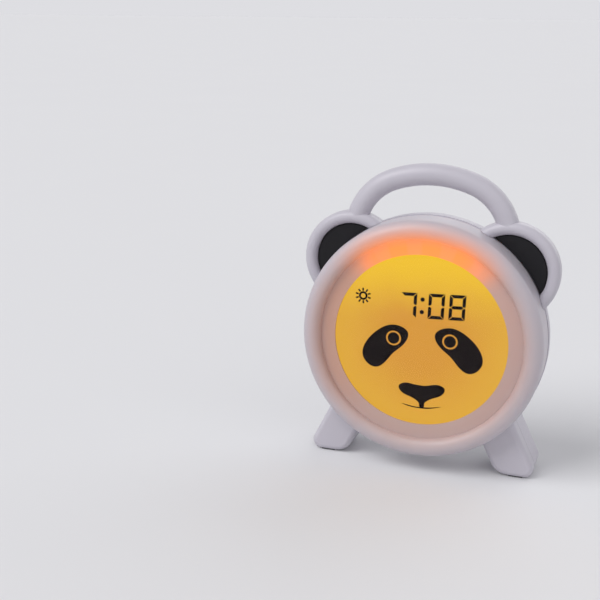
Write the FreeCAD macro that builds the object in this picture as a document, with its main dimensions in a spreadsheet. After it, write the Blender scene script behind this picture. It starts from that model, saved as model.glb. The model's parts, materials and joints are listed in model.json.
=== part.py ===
import FreeCAD, Part
import math
import operator
import os

import Sketcher

# A child's bedside clock with a round backlit display, a frosted light ring, two ears,
# a carrying handle and two splayed feet. Millimetres. +X is the clock's own left-to-right
# as seen from the front, +Y goes to the back and +Z is up. The origin lies on the table
# under the middle of the clock. Every piece is drawn about the display's centre, where
# depth 0 is the front of the flat ring floor, and is then set in its place.

doc = FreeCAD.newDocument("BedsideClock")
sheet = doc.addObject("Spreadsheet::Sheet", "Sizes")


class Size:
    """A number together with the formula that ties it to the sheet."""

    def __init__(self, number, formula):
        self.number = number
        self.formula = formula

    def __add__(self, other):
        return joined(self, "+", other)

    def __radd__(self, other):
        return joined(other, "+", self)

    def __sub__(self, other):
        return joined(self, "-", other)

    def __rsub__(self, other):
        return joined(other, "-", self)

    def __mul__(self, other):
        return joined(self, "*", other)

    def __rmul__(self, other):
        return joined(other, "*", self)

    def __truediv__(self, other):
        return joined(self, "/", other)

    def __rtruediv__(self, other):
        return joined(other, "/", self)

    def __neg__(self):
        return joined(0, "-", self)


SIGNS = {"+": operator.add, "-": operator.sub, "*": operator.mul, "/": operator.truediv}


def as_size(value):
    if isinstance(value, Size):
        return value
    return Size(float(value), repr(float(value)))


def joined(first, sign, second):
    first = as_size(first)
    second = as_size(second)
    number = SIGNS[sign](first.number, second.number)
    return Size(number, f"({first.formula} {sign} {second.formula})")


def sine(angle):
    angle = as_size(angle)
    return Size(math.sin(math.radians(angle.number)), f"sin({angle.formula} * 1 deg)")


def cosine(angle):
    angle = as_size(angle)
    return Size(math.cos(math.radians(angle.number)), f"cos({angle.formula} * 1 deg)")


def tangent(angle):
    return sine(angle) / cosine(angle)


def size(alias, number):
    """Writes one driving dimension into the sheet under its own name."""
    row = len(size_names) + 1
    size_names.append(alias)
    sheet.set(f"A{row}", alias.replace("_", " "))
    sheet.set(f"B{row}", str(number))
    sheet.setAlias(f"B{row}", alias)
    return Size(float(number), f"Sizes.{alias}")


size_names = []

# Overall
centre_height = size("centre_height", 90.3)
body_depth = size("body_depth", 51.1)
shell_wall = size("shell_wall", 2.4)
fit_gap = size("fit_gap", 0.3)

# Light ring
display_radius = size("display_radius", 57.0)
floor_radius = size("floor_radius", 66.5)
ring_radius = size("ring_radius", 79.0)
ring_crest = size("ring_crest", 5.6)
ring_depth = size("ring_depth", 20.0)
ring_wall = size("ring_wall", 2.2)
ring_lip = size("ring_lip", 1.0)
ring_boss_angles = [5, 175, 245, 295]
night_lead_spot = (41, 56)
ring_boss_radius = size("ring_boss_radius", 3.1)

# Display stack, from the front
window_rim = size("window_rim", 3.4)
window_thickness = size("window_thickness", 1.5)
symbol_thickness = size("symbol_thickness", 0.3)
panel_thickness = size("panel_thickness", 2.2)
diffuser_thickness = size("diffuser_thickness", 1.5)
board_thickness = size("board_thickness", 1.6)
cup_wall = size("cup_wall", 2.0)
cup_back = size("cup_back", 18.0)

# Casing
drum_radius = size("drum_radius", 79.5)
drum_bend = size("drum_bend", 20.0)
split_depth = size("split_depth", 22.0)
bulkhead_thickness = size("bulkhead_thickness", 2.2)
collar_wall = size("collar_wall", 1.5)
collar_reach = size("collar_reach", 4.0)
post_radius = size("post_radius", 2.2)
shelf_width = size("shelf_width", 18.0)
shelf_length = size("shelf_length", 14.0)
shelf_thickness = size("shelf_thickness", 2.0)
cut_past = size("cut_past", 1.0)

# Ears
ear_across = size("ear_across", 51.8)
ear_up = size("ear_up", 46.3)
ear_radius = size("ear_radius", 32.2)
ear_pad_radius = size("ear_pad_radius", 23.8)
ear_bead_depth = size("ear_bead_depth", 18.6)
ear_back = size("ear_back", 29.5)
ear_bend = size("ear_bend", 5.5)
ear_pad_depth = size("ear_pad_depth", 18.3)
ear_button_travel = size("ear_button_travel", 1.0)

# Handle
handle_thickness = size("handle_thickness", 14.1)
handle_top = size("handle_top", 104.9)
handle_top_bend = size("handle_top_bend", 75.0)
handle_top_angle = size("handle_top_angle", 20.4)
handle_side_bend = size("handle_side_bend", 37.7)
handle_side_angle = size("handle_side_angle", 50.0)
handle_leg = size("handle_leg", 5.0)

# Feet
foot_across = size("foot_across", 65.8)
foot_half_width = size("foot_half_width", 14.0)
foot_lean = size("foot_lean", 26.0)
foot_front = size("foot_front", 11.0)
foot_back = size("foot_back", 45.0)
foot_root = size("foot_root", 44.3)
foot_outer_bend = size("foot_outer_bend", 6.0)
foot_inner_bend = size("foot_inner_bend", 12.0)
foot_edge_bend = size("foot_edge_bend", 4.0)
foot_pad_thickness = size("foot_pad_thickness", 1.4)
foot_pad_proud = size("foot_pad_proud", 0.6)
foot_pad_width = size("foot_pad_width", 9.0)

# Buttons and slider on the back
button_radius = size("button_radius", 4.7)
button_pitch = size("button_pitch", 16.0)
button_row_height = size("button_row_height", 10.0)
button_proud = size("button_proud", 1.5)
button_travel = size("button_travel", 1.0)
button_flange = size("button_flange", 1.3)
first_button = size("first_button", -24.0)
slider_across = size("slider_across", -46.0)
slider_travel = size("slider_travel", 4.0)
slider_width = size("slider_width", 4.0)
slider_tall = size("slider_tall", 3.2)
stem_radius = size("stem_radius", 1.5)
switch_side = size("switch_side", 6.0)
switch_height = size("switch_height", 3.0)

# Main board
main_board_left = size("main_board_left", -52.0)
main_board_width = size("main_board_width", 100.0)
main_board_height = size("main_board_height", 20.0)
main_board_depth = size("main_board_depth", 35.4)

# Speaker
speaker_height = size("speaker_height", 40.0)
speaker_radius = size("speaker_radius", 20.0)
speaker_rim = size("speaker_rim", 2.5)
gasket_thickness = size("gasket_thickness", 1.0)
magnet_radius = size("magnet_radius", 11.0)
magnet_thickness = size("magnet_thickness", 6.0)
grille_hole = size("grille_hole", 1.1)

# Battery bay, for three cells of the AA size
cell_radius = size("cell_radius", 7.15)
cell_length = size("cell_length", 49.2)
cell_nub = size("cell_nub", 1.3)
cell_pitch = size("cell_pitch", 14.8)
bay_length = size("bay_length", 56.4)
bay_centre = size("bay_centre", -28.0)
bay_wall = size("bay_wall", 1.6)
door_thickness = size("door_thickness", 1.6)
door_rim = size("door_rim", 2.8)
contact_thickness = size("contact_thickness", 0.4)
spring_leaf = size("spring_leaf", 0.4)
spring_tip = size("spring_tip", 1.2)
spring_spread = size("spring_spread", 4.4)
spring_width = size("spring_width", 5.0)
lug_radius = size("lug_radius", 4.5)
lug_thickness = size("lug_thickness", 3.0)
peg_radius = size("peg_radius", 1.2)
peg_length = size("peg_length", 2.0)
door_pegs = [-22, 22]

# Charging socket
socket_across = size("socket_across", 47.0)
socket_height = size("socket_height", -14.0)
socket_width = size("socket_width", 7.6)
socket_tall = size("socket_tall", 2.8)
socket_length = size("socket_length", 5.6)

# Screws
pillar_radius = size("pillar_radius", 4.2)
pillar_foot = size("pillar_foot", 29.0)
screw_head_radius = size("screw_head_radius", 2.8)
screw_head_height = size("screw_head_height", 2.0)
screw_radius = size("screw_radius", 1.4)
screw_gap = size("screw_gap", 0.1)
screw_seat = size("screw_seat", 2.0)

# Places that follow from the sizes
crest_bend = ring_radius - floor_radius
crest_outer_bend = crest_bend * 0.6
crest_inner_bend = crest_bend - crest_outer_bend
crest_radius = ring_radius - crest_outer_bend
back_depth = body_depth - ring_crest
back_inside = back_depth - shell_wall
face_depth = ring_crest - (body_depth + button_proud) / 2
window_radius = display_radius + window_rim
window_back = ring_lip + window_thickness
panel_front = window_back + fit_gap + symbol_thickness
panel_back = panel_front + panel_thickness
diffuser_back = panel_back + diffuser_thickness
bulkhead_back = cup_back + bulkhead_thickness
ground = -centre_height
ear_hole_radius = ear_pad_radius + fit_gap
cup_radius = window_radius + fit_gap + cup_wall
boss_circle = cup_radius + fit_gap + ring_boss_radius
board_back = main_board_depth + board_thickness
button_inside = back_inside - fit_gap

pieces = []


def vector(point):
    return FreeCAD.Vector(as_size(point[0]).number, as_size(point[1]).number, 0)


def put(item, across=0, depth=0, up=0):
    """Ties an object's place to the sheet."""
    for axis, value in (("x", across), ("y", depth), ("z", up)):
        item.setExpression(f"Placement.Base.{axis}", as_size(value).formula)
    return item


def piece(item, name):
    """Names a finished sub-part and sets it in the clock's frame."""
    item.Label = name
    put(item, 0, face_depth, centre_height)
    pieces.append(item)
    return item


def plane_sketch(body, role, depth=0):
    """Adds a sketch on one of the body's own planes, moved to the given depth."""
    sketch = body.newObject("Sketcher::SketchObject", body.Name + "Sketch")
    plane = [part for part in body.Origin.OriginFeatures if part.Role == role][0]
    sketch.AttachmentSupport = [(plane, "")]
    sketch.MapMode = "FlatFace"
    if role == "XZ_Plane":
        depth = -as_size(depth)
    sketch.setExpression("AttachmentOffset.Base.z", as_size(depth).formula)
    return sketch


def tie(sketch, constraint, value):
    number = sketch.addConstraint(constraint)
    sketch.setExpression(f"Constraints[{number}]", as_size(value).formula)


def pin(sketch, geometry, position, point):
    """Holds a point of the sketch at its two distances from the origin."""
    spot = vector(point)
    tie(sketch, Sketcher.Constraint("DistanceX", -1, 1, geometry, position, spot.x), point[0])
    tie(sketch, Sketcher.Constraint("DistanceY", -1, 1, geometry, position, spot.y), point[1])


def arc_between(start, end, bend):
    """An arc from start to end. A positive bend turns left, a negative one right."""
    chord = end - start
    half = chord.Length / 2
    left = FreeCAD.Vector(-chord.y, chord.x, 0).normalize()
    side = 1 if bend > 0 else -1
    reach = math.sqrt(max(bend * bend - half * half, 0))
    centre = (start + end) * 0.5 + left * (reach * side)
    first = start - centre if side > 0 else end - centre
    last = end - centre if side > 0 else start - centre
    circle = Part.Circle(centre, FreeCAD.Vector(0, 0, 1), abs(bend))
    return Part.ArcOfCircle(circle, math.atan2(first.y, first.x), math.atan2(last.y, last.x))


def draw(sketch, path):
    """Draws a closed path. A corner is (x, y), or (x, y, bend) where an arc leaves it."""
    first = sketch.GeometryCount
    ends = []
    for index, here in enumerate(path):
        there = path[(index + 1) % len(path)]
        if len(here) == 3:
            bend = as_size(here[2])
            line = sketch.addGeometry(arc_between(vector(here), vector(there), bend.number), False)
            ends.append((line, (1, 2) if bend.number > 0 else (2, 1)))
            radius = bend if bend.number > 0 else -bend
            tie(sketch, Sketcher.Constraint("Radius", line, radius.number), radius)
        else:
            line = sketch.addGeometry(Part.LineSegment(vector(here), vector(there)), False)
            ends.append((line, (1, 2)))
    for index, here in enumerate(path):
        line, order = ends[index]
        before, before_order = ends[index - 1]
        link = Sketcher.Constraint("Coincident", before, before_order[1], line, order[0])
        sketch.addConstraint(link)
        pin(sketch, line, order[0], here)
    return first


def draw_circle(sketch, across, up, radius):
    centre = vector((across, up))
    circle = Part.Circle(centre, FreeCAD.Vector(0, 0, 1), as_size(radius).number)
    line = sketch.addGeometry(circle, False)
    tie(sketch, Sketcher.Constraint("Radius", line, as_size(radius).number), radius)
    pin(sketch, line, 3, (across, up))


def rectangle(left, bottom, width, height):
    return [
        (left, bottom),
        (left + width, bottom),
        (left + width, bottom + height),
        (left, bottom + height),
    ]


def new_body(name):
    body = doc.addObject("PartDesign::Body", name)
    body.AllowCompound = True
    return body


def revolve(body, path, kind="Revolution"):
    """Turns a path of (radius, depth) corners about the body's front-to-back axis."""
    sketch = plane_sketch(body, "XY_Plane")
    draw(sketch, path)
    turn = body.newObject("PartDesign::" + kind, body.Name + kind)
    turn.Profile = sketch
    turn.ReferenceAxis = (sketch, ["V_Axis"])
    turn.Angle = 360
    sketch.Visibility = False
    return turn


def extrude(body, outlines, depth, length, kind="Pad"):
    """Pads or pockets front-view outlines from one depth backwards."""
    sketch = plane_sketch(body, "XZ_Plane", depth)
    for outline in outlines:
        if isinstance(outline, list):
            draw(sketch, outline)
        else:
            draw_circle(sketch, *outline)
    feature = body.newObject("PartDesign::" + kind, body.Name + kind)
    feature.Profile = sketch
    feature.setExpression("Length", as_size(length).formula)
    feature.Reversed = kind == "Pad"
    sketch.Visibility = False
    return feature


def turned(name, path):
    body = new_body(name)
    revolve(body, path)
    return body


def plate(name, outlines, depth, length):
    body = new_body(name)
    extrude(body, outlines, depth, length)
    return body


def edges_where(feature, test):
    """Names the edges of a feature whose middle passes the test."""
    doc.recompute()
    chosen = []
    for number, edge in enumerate(feature.Shape.Edges, 1):
        middle = edge.valueAt((edge.FirstParameter + edge.LastParameter) / 2)
        if test(middle, edge):
            chosen.append(f"Edge{number}")
    return chosen


def rounded(body, feature, radius, test, kind="Fillet"):
    """Rounds the chosen edges of the body's last feature."""
    finish = body.newObject("PartDesign::" + kind, body.Name + kind)
    finish.Base = (feature, edges_where(feature, test))
    finish.setExpression("Radius" if kind == "Fillet" else "Size", as_size(radius).formula)
    return finish


def cylinder(name, radius, length, across=0, depth=0, up=0):
    """A cylinder along the front-to-back axis, from the given depth backwards."""
    item = doc.addObject("Part::Cylinder", name)
    item.setExpression("Radius", as_size(radius).formula)
    item.setExpression("Height", as_size(length).formula)
    item.Placement.Rotation = FreeCAD.Rotation(FreeCAD.Vector(1, 0, 0), -90)
    return put(item, across, depth, up)


def box(name, left, front, bottom, width, deep, height):
    item = doc.addObject("Part::Box", name)
    item.setExpression("Length", as_size(width).formula)
    item.setExpression("Width", as_size(deep).formula)
    item.setExpression("Height", as_size(height).formula)
    return put(item, left, front, bottom)


def fuse(name, items):
    result = doc.addObject("Part::MultiFuse", name)
    result.Shapes = items
    return result


def common(name, first, second):
    result = doc.addObject("Part::Common", name)
    result.Base = first
    result.Tool = second
    return result


def cut(name, first, items):
    result = doc.addObject("Part::Cut", name)
    result.Base = first
    result.Tool = items[0] if len(items) == 1 else fuse(name + "Tools", items)
    return result


def group(name, items):
    result = doc.addObject("Part::Compound", name)
    result.Links = items
    return piece(result, name)


def polar(radius, angle):
    return radius * cosine(angle), radius * sine(angle)


def outside_path(radius_inset, front, back):
    """The casing's drum in section, drawn in by the inset."""
    bend = drum_bend - radius_inset
    radius = drum_radius - radius_inset
    return [(0, front), (radius, front), (radius, back - bend, bend), (radius - bend, back), (0, back)]


# Light ring: the frosted front of the clock


def make_light_ring():
    outer_hollow = crest_outer_bend - ring_wall
    inner_hollow = crest_inner_bend - ring_wall
    crest_depth = crest_outer_bend - ring_crest
    hollow_radius = crest_radius - inner_hollow
    crest_front = crest_inner_bend - ring_crest
    ring = turned("light_ring", [
        (display_radius, 0),
        (floor_radius, 0),
        (floor_radius, crest_front, crest_inner_bend),
        (crest_radius, -ring_crest, crest_outer_bend),
        (ring_radius, crest_depth),
        (ring_radius, ring_depth),
        (ring_radius - ring_wall, ring_depth),
        (ring_radius - ring_wall, crest_depth, -outer_hollow),
        (crest_radius, ring_wall - ring_crest, -inner_hollow),
        (hollow_radius, crest_front),
        (hollow_radius, ring_wall),
        (window_radius + fit_gap, ring_wall),
        (window_radius + fit_gap, ring_lip),
        (display_radius, ring_lip),
    ])
    spots = [polar(boss_circle, angle) for angle in ring_boss_angles]
    bosses = [(across, up, ring_boss_radius) for across, up in spots]
    extrude(ring, bosses, ring_wall / 2, cup_back - ring_wall / 2)
    holes = [(across, up, screw_radius) for across, up in spots]
    extrude(ring, holes, cup_back - 9, 9, "Pocket")
    piece(ring, "light_ring")
    return spots


# Display stack


def make_display_stack():
    flat = ribbon_height() + 1.2
    window = plate("display_window", [(0, 0, window_radius)], ring_lip, window_thickness)
    piece(window, "display_window")
    panel = plate("lcd_panel", [(0, 0, window_radius - fit_gap)], panel_front, panel_thickness)
    ledge = rectangle(-window_radius, -window_radius, window_radius * 2, window_radius + flat - 2)
    extrude(panel, [ledge], panel_front, panel_thickness / 2, "Pocket")
    piece(panel, "lcd_panel")
    sheet_body = plate("backlight_diffuser", [(0, 0, window_radius - fit_gap)], panel_back,
                       diffuser_thickness)
    below = rectangle(-window_radius, -window_radius, window_radius * 2, window_radius + flat)
    extrude(sheet_body, [below], panel_back, diffuser_thickness, "Pocket")
    piece(sheet_body, "backlight_diffuser")


def ribbon_height():
    """Height of the display ribbon's level run through the reflector cup."""
    return -(display_radius - 1.7)


def make_reflector_cup(screw_spots):
    cup = turned("reflector_cup", [
        (0, cup_back - cup_wall),
        (display_radius, cup_back - cup_wall),
        (display_radius + 1, diffuser_back),
        (window_radius + fit_gap, diffuser_back),
        (window_radius + fit_gap, ring_wall),
        (cup_radius, ring_wall),
        (cup_radius, cup_back),
        (0, cup_back),
    ])
    holes = [(across, up, screw_radius + fit_gap) for across, up in screw_spots]
    holes = holes + [(across, up, lead_radius + fit_gap) for across, up in backlight_lead_spots]
    extrude(cup, holes, cup_back - cup_wall, cup_wall, "Pocket")
    extrude(cup, [ribbon_slot()], cup_back - cup_wall, cup_wall, "Pocket")
    piece(cup, "reflector_cup")


ribbon_width = size("ribbon_width", 16.0)
ribbon_thickness = size("ribbon_thickness", 0.3)
lead_radius = size("lead_radius", 0.6)


def ribbon_slot():
    """The slot that the display ribbon passes through, in front view."""
    slot_height = ribbon_thickness + fit_gap * 2
    left = -ribbon_width / 2 - fit_gap
    return rectangle(left, ribbon_height() - slot_height / 2, ribbon_width + fit_gap * 2, slot_height)


backlight_lead_spots = [(30, 6), (34, 6)]


def make_backlight_board(screw_spots):
    front = cup_back - cup_wall - board_thickness
    board = plate("backlight_board", [(0, 0, display_radius - 1)], front, board_thickness)
    holes = [(across, up, screw_radius + fit_gap) for across, up in screw_spots]
    extrude(board, holes, front, board_thickness, "Pocket")
    below = rectangle(-ribbon_width, -display_radius, ribbon_width * 2,
                      display_radius + ribbon_height() + 1.2)
    extrude(board, [below], front, board_thickness, "Pocket")
    piece(board, "backlight_board")
    lamps = []
    for angle in range(0, 360, 45):
        lamps.append(lamp("BacklightLamp", polar(display_radius * 0.46, angle + 22.5), front))
    lamps.append(lamp("BacklightLamp", (0, 0), front))
    group("backlight_leds", lamps)


lamp_width = size("lamp_width", 3.5)
lamp_tall = size("lamp_tall", 2.8)
lamp_depth = size("lamp_depth", 1.4)


def lamp(name, spot, board_front):
    """A small surface-mounted lamp, standing on the front of a board."""
    item = box(name, spot[0] - lamp_width / 2, board_front - lamp_depth, spot[1] - lamp_tall / 2,
               lamp_width, lamp_depth, lamp_tall)
    return item


night_board_inner = size("night_board_inner", 64.5)
night_board_outer = size("night_board_outer", 75.0)
night_board_start = size("night_board_start", 36.0)


def make_night_light():
    front = cup_back - board_thickness
    inner = night_board_inner
    outer = night_board_outer
    low = night_board_start
    high = 180 - night_board_start
    outline = [
        polar(inner, low),
        polar(outer, low) + (outer,),
        polar(outer, 90) + (outer,),
        polar(outer, high),
        polar(inner, high) + (-inner,),
        polar(inner, 90) + (-inner,),
    ]
    board = plate("night_light_board", [outline], front, board_thickness)
    piece(board, "night_light_board")
    lamps = []
    middle = (night_board_inner + night_board_outer) / 2
    for angle in range(50, 131, 10):
        lamps.append(lamp("NightLamp", polar(middle, angle), front))
    group("night_light_leds", lamps)


# Picture on the display: a sun, the time and an animal's face, as thin dark plates


art_roll = size("art_roll", -2.3)
art_across = size("art_across", 0.8)
digit_width = size("digit_width", 10.5)
digit_height = size("digit_height", 16.7)
digit_stroke = size("digit_stroke", 2.1)
digit_slant = size("digit_slant", 4.0)
digit_gap = size("digit_gap", 0.28)
digits_height = size("digits_height", 23.1)
digit_spots = {"7": -8.4, "0": 9.7, "8": 23.2}
colon_across = size("colon_across", 0.5)
colon_radius = size("colon_radius", 1.4)
sun_across = size("sun_across", -38.7)
sun_height = size("sun_height", 27.7)
sun_radius = size("sun_radius", 2.9)
sun_hole = size("sun_hole", 1.6)
sun_reach = size("sun_reach", 5.2)
sun_ray_width = size("sun_ray_width", 1.0)
eye_across = size("eye_across", 18.6)
eye_height = size("eye_height", 0.3)
eye_radius = size("eye_radius", 5.0)
pupil_radius = size("pupil_radius", 3.9)
patch_across = size("patch_across", 25.1)
patch_height = size("patch_height", -4.5)

LIT = {
    "0": "abcdef",
    "7": "abc",
    "8": "abcdefg",
}


def solid_of(points):
    """A thin plate from front-view corner points."""
    depth = (panel_front - symbol_thickness).number
    corners = [FreeCAD.Vector(x, depth, z) for x, z in points]
    wire = Part.makePolygon(corners + [corners[0]])
    return Part.Face(wire).extrude(FreeCAD.Vector(0, symbol_thickness.number, 0))


def disc_of(across, up, radius):
    depth = (panel_front - symbol_thickness).number
    return Part.makeCylinder(radius, symbol_thickness.number, FreeCAD.Vector(across, depth, up),
                             FreeCAD.Vector(0, 1, 0))


def curve_plate(points):
    """A thin plate inside a smooth closed curve through front-view points."""
    depth = (panel_front - symbol_thickness).number
    curve = Part.BSplineCurve()
    curve.interpolate(Points=[FreeCAD.Vector(x, depth, z) for x, z in points], PeriodicFlag=True)
    wire = Part.Wire(curve.toShape())
    return Part.Face(wire).extrude(FreeCAD.Vector(0, symbol_thickness.number, 0))


def segments():
    """The seven strokes of a digit by letter, about the digit's centre, upright."""
    half_w = digit_width.number / 2
    half_h = digit_height.number / 2
    stroke = digit_stroke.number
    gap = digit_gap.number
    inner = half_w - stroke
    top_inner = half_h - stroke
    half = stroke / 2
    top = [
        (-half_w + gap, half_h), (half_w - gap, half_h),
        (inner - gap, top_inner), (-inner + gap, top_inner),
    ]
    right = [
        (half_w, half_h - gap), (half_w, half * 0.4 + gap), (half_w - half, gap),
        (inner, half + gap), (inner, top_inner - gap),
    ]
    bar = [
        (-half_w + half + gap, 0), (-inner + gap, half), (inner - gap, half),
        (half_w - half - gap, 0), (inner - gap, -half), (-inner + gap, -half),
    ]
    return {
        "a": top,
        "d": [(x, -z) for x, z in top],
        "b": right,
        "c": [(x, -z) for x, z in right],
        "f": [(-x, z) for x, z in right],
        "e": [(-x, -z) for x, z in right],
        "g": bar,
    }


def slanted(points, across):
    lean = math.tan(math.radians(digit_slant.number))
    up = digits_height.number
    return [(across + x + z * lean, up + z) for x, z in points]


def make_digits():
    solids = []
    strokes = segments()
    for digit, across in digit_spots.items():
        for letter in LIT[digit]:
            solids.append(solid_of(slanted(strokes[letter], across)))
    for step in (-1, 1):
        across, up = slanted([(0, step * digit_height.number / 4)], colon_across.number)[0]
        solids.append(disc_of(across, up, colon_radius.number))
    symbol("clock_digits", solids)


def make_sun():
    centre = (sun_across.number, sun_height.number)
    ring = disc_of(*centre, sun_radius.number).cut(disc_of(*centre, sun_hole.number))
    solids = [ring]
    half = sun_ray_width.number / 2
    start = sun_radius.number + sun_ray_width.number * 0.35
    for index in range(10):
        turn = math.radians(index * 36 + 18)
        ahead = (math.cos(turn), math.sin(turn))
        aside = (-ahead[1] * half, ahead[0] * half)
        points = []
        for reach, side in ((start, 1), (start, -1), (sun_reach.number, -1), (sun_reach.number, 1)):
            x = centre[0] + ahead[0] * reach + aside[0] * side
            z = centre[1] + ahead[1] * reach + aside[1] * side
            points.append((x, z))
        solids.append(solid_of(points))
    symbol("sun_symbol", solids)


def make_face():
    patch = [
        (-1.4, -13.9), (-8.7, -15.3), (-14.5, -8.6), (-12.0, 1.3), (-4.6, 9.2),
        (7.9, 13.8), (16.2, 8.9), (13.9, 1.8), (5.9, -5.6),
    ]
    solids = []
    for side in (-1, 1):
        centre = patch_across.number
        points = [(side * (centre - x), patch_height.number + z) for x, z in patch]
        eye = (side * eye_across.number, eye_height.number)
        solids.append(curve_plate(points).cut(disc_of(*eye, eye_radius.number)))
        solids.append(disc_of(*eye, pupil_radius.number))
    nose = [(5.5, -30.3), (11.3, -29.7), (15.3, -32.2), (13.4, -36.3), (8.2, -38.8), (3.6, -41.2)]
    stem = [(1.7, -43.6), (1.5, -45.4)]
    right = nose + stem
    outline = [(0, -30.9)] + right + [(0, -46.0)] + [(-x, z) for x, z in reversed(right)]
    mouth = [(-12.8, -44.5), (-6.5, -46.2), (0, -46.7), (6.5, -46.2), (12.8, -44.5),
             (6.5, -45.5), (0, -45.8), (-6.5, -45.5)]
    solids.append(curve_plate(outline).fuse(curve_plate(mouth)).removeSplitter())
    symbol("face_symbol", solids)


def symbol(name, solids):
    """A picture element of the display, whose shape is worked out from the sheet's sizes."""
    item = doc.addObject("Part::Feature", name)
    item.Shape = Part.makeCompound(solids)
    item.Placement.Rotation = FreeCAD.Rotation(FreeCAD.Vector(0, 1, 0), art_roll.number)
    piece(item, name)
    put(item, art_across, face_depth, centre_height)


# Casing: two half shells that carry the ears, the handle and the feet


def ear_solid(name, side, inset):
    """One ear, with a round bead about its pad. The inset draws it in to the hollow."""
    bead = (ear_radius - ear_hole_radius) / 2
    bend = bead - inset
    corner = ear_bend - inset
    if as_size(inset).number:
        start = [
            (0, 0),
            (ear_hole_radius, 0),
            (ear_hole_radius, ear_lip_depth),
            (ear_hole_radius + inset, ear_lip_depth),
        ]
    else:
        start = [(0, ear_bead_depth)]
    ear = turned(name, start + [
        (ear_hole_radius + inset, ear_bead_depth, bend),
        (ear_hole_radius + bead, ear_bead_depth - bend, bend),
        (ear_radius - inset, ear_bead_depth),
        (ear_radius - inset, ear_back - ear_bend, corner),
        (ear_radius - ear_bend, ear_back - inset),
        (0, ear_back - inset),
    ])
    if side > 0:
        ear.Placement.Rotation = FreeCAD.Rotation(FreeCAD.Vector(0, 1, 0), 180)
    return put(ear, side * ear_across, 0, ear_up)


ear_wall = size("ear_wall", 2.0)
ear_lip_depth = size("ear_lip_depth", 20.2)


def foot_solid(name, side, inset):
    """One splayed foot in front view, run from front to back and rounded all round."""
    bottom = ground + foot_pad_proud + inset
    half = foot_half_width - inset / cosine(foot_lean)
    outer_bend = foot_outer_bend - inset
    inner_bend = foot_inner_bend - inset
    outer_reach = outer_bend / tangent((90 - foot_lean) / 2)
    inner_reach = inner_bend / tangent((90 + foot_lean) / 2)
    slope = tangent(foot_lean)
    base = foot_across - (bottom - ground) * slope
    root = foot_across - (-foot_root - ground) * slope
    outer = base + half
    inner = base - half
    rise = cosine(foot_lean)
    shift = sine(foot_lean)
    path = [
        (side * (root - half), -foot_root),
        (side * (inner - inner_reach * shift), bottom + inner_reach * rise, side * inner_bend),
        (side * (inner + inner_reach), bottom),
        (side * (outer - outer_reach), bottom, side * outer_bend),
        (side * (outer - outer_reach * shift), bottom + outer_reach * rise),
        (side * (root + half), -foot_root),
    ]
    foot = new_body(name)
    depth = foot_back - foot_front - inset * 2
    block = extrude(foot, [path], foot_front + inset, depth)
    front = (foot_front + inset).number
    back = (foot_back - inset).number

    def on_an_end(middle, edge):
        flat = abs(edge.valueAt(edge.FirstParameter).y - edge.valueAt(edge.LastParameter).y) < 1e-6
        at_end = min(abs(middle.y - front), abs(middle.y - back)) < 1e-6
        return flat and at_end and middle.z < -foot_root.number - 1e-6

    rounded(foot, block, foot_edge_bend - inset * 0.8, on_an_end)
    return foot


def handle_solid(name, radius):
    """The arched handle: a round bar over a wide top, two tighter shoulders and two legs."""
    handle = new_body(name)
    top_end = handle_top_angle
    side_end = handle_top_angle + handle_side_angle
    top_low = handle_top - handle_top_bend
    shoulder = polar(handle_top_bend, 90 - top_end)
    first = (shoulder[0], top_low + shoulder[1])
    centre = polar(handle_top_bend - handle_side_bend, 90 - top_end)
    hip = polar(handle_side_bend, 90 - side_end)
    second = (centre[0] + hip[0], top_low + centre[1] + hip[1])
    third = (second[0] + handle_leg * cosine(side_end), second[1] - handle_leg * sine(side_end))
    route = plane_sketch(handle, "XZ_Plane", split_depth)
    corners = [(0, handle_top, -handle_top_bend), (first[0], first[1], -handle_side_bend), second, third]
    for here, there in zip(corners, corners[1:]):
        if len(here) == 3:
            arc = arc_between(vector(here), vector(there), here[2].number)
            line = route.addGeometry(arc, False)
            tie(route, Sketcher.Constraint("Radius", line, -here[2].number), -here[2])
            pin(route, line, 2, here)
            pin(route, line, 1, there)
        else:
            line = route.addGeometry(Part.LineSegment(vector(here), vector(there)), False)
            pin(route, line, 1, here)
            pin(route, line, 2, there)
    section = plane_sketch(handle, "YZ_Plane")
    draw_circle(section, split_depth, handle_top, radius)
    doc.recompute()
    pipe = handle.newObject("PartDesign::AdditivePipe", name + "Pipe")
    pipe.Profile = section
    pipe.Spine = (route, [f"Edge{number + 1}" for number in range(len(corners) - 1)])
    doc.recompute()
    mirror = handle.newObject("PartDesign::Mirrored", name + "Mirror")
    mirror.Originals = [pipe]
    plane = [part for part in handle.Origin.OriginFeatures if part.Role == "YZ_Plane"][0]
    mirror.MirrorPlane = (plane, [""])
    handle.Tip = mirror
    return handle


def casing_solid():
    """The whole casing, hollow, before it is split in two."""
    outer = [turned("DrumOuter", outside_path(0, ring_depth, back_depth))]
    inner = [turned("DrumInner", outside_path(shell_wall, bulkhead_back, back_inside))]
    outer.append(handle_solid("HandleOuter", handle_thickness / 2))
    inner.append(handle_solid("HandleInner", handle_thickness / 2 - shell_wall))
    for side in (-1, 1):
        outer.append(ear_solid("EarOuter", side, 0))
        inner.append(ear_solid("EarInner", side, ear_wall))
        outer.append(foot_solid("FootOuter", side, 0))
        inner.append(foot_solid("FootInner", side, shell_wall))
    return cut("CasingSolid", fuse("CasingOuter", outer), [fuse("CasingInner", inner)])


def half_space(name, front, back):
    reach = centre_height * 2
    return box(name, -reach, front, -reach, reach * 2, back - front, reach * 2)


pillar_spots = [(-56, 22), (56, 22), (-52, -38), (52, -38), (0, 67), (0, -64)]
foot_pad_spans = [(2.5, 9.5), (16.0, 30.0)]


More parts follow.
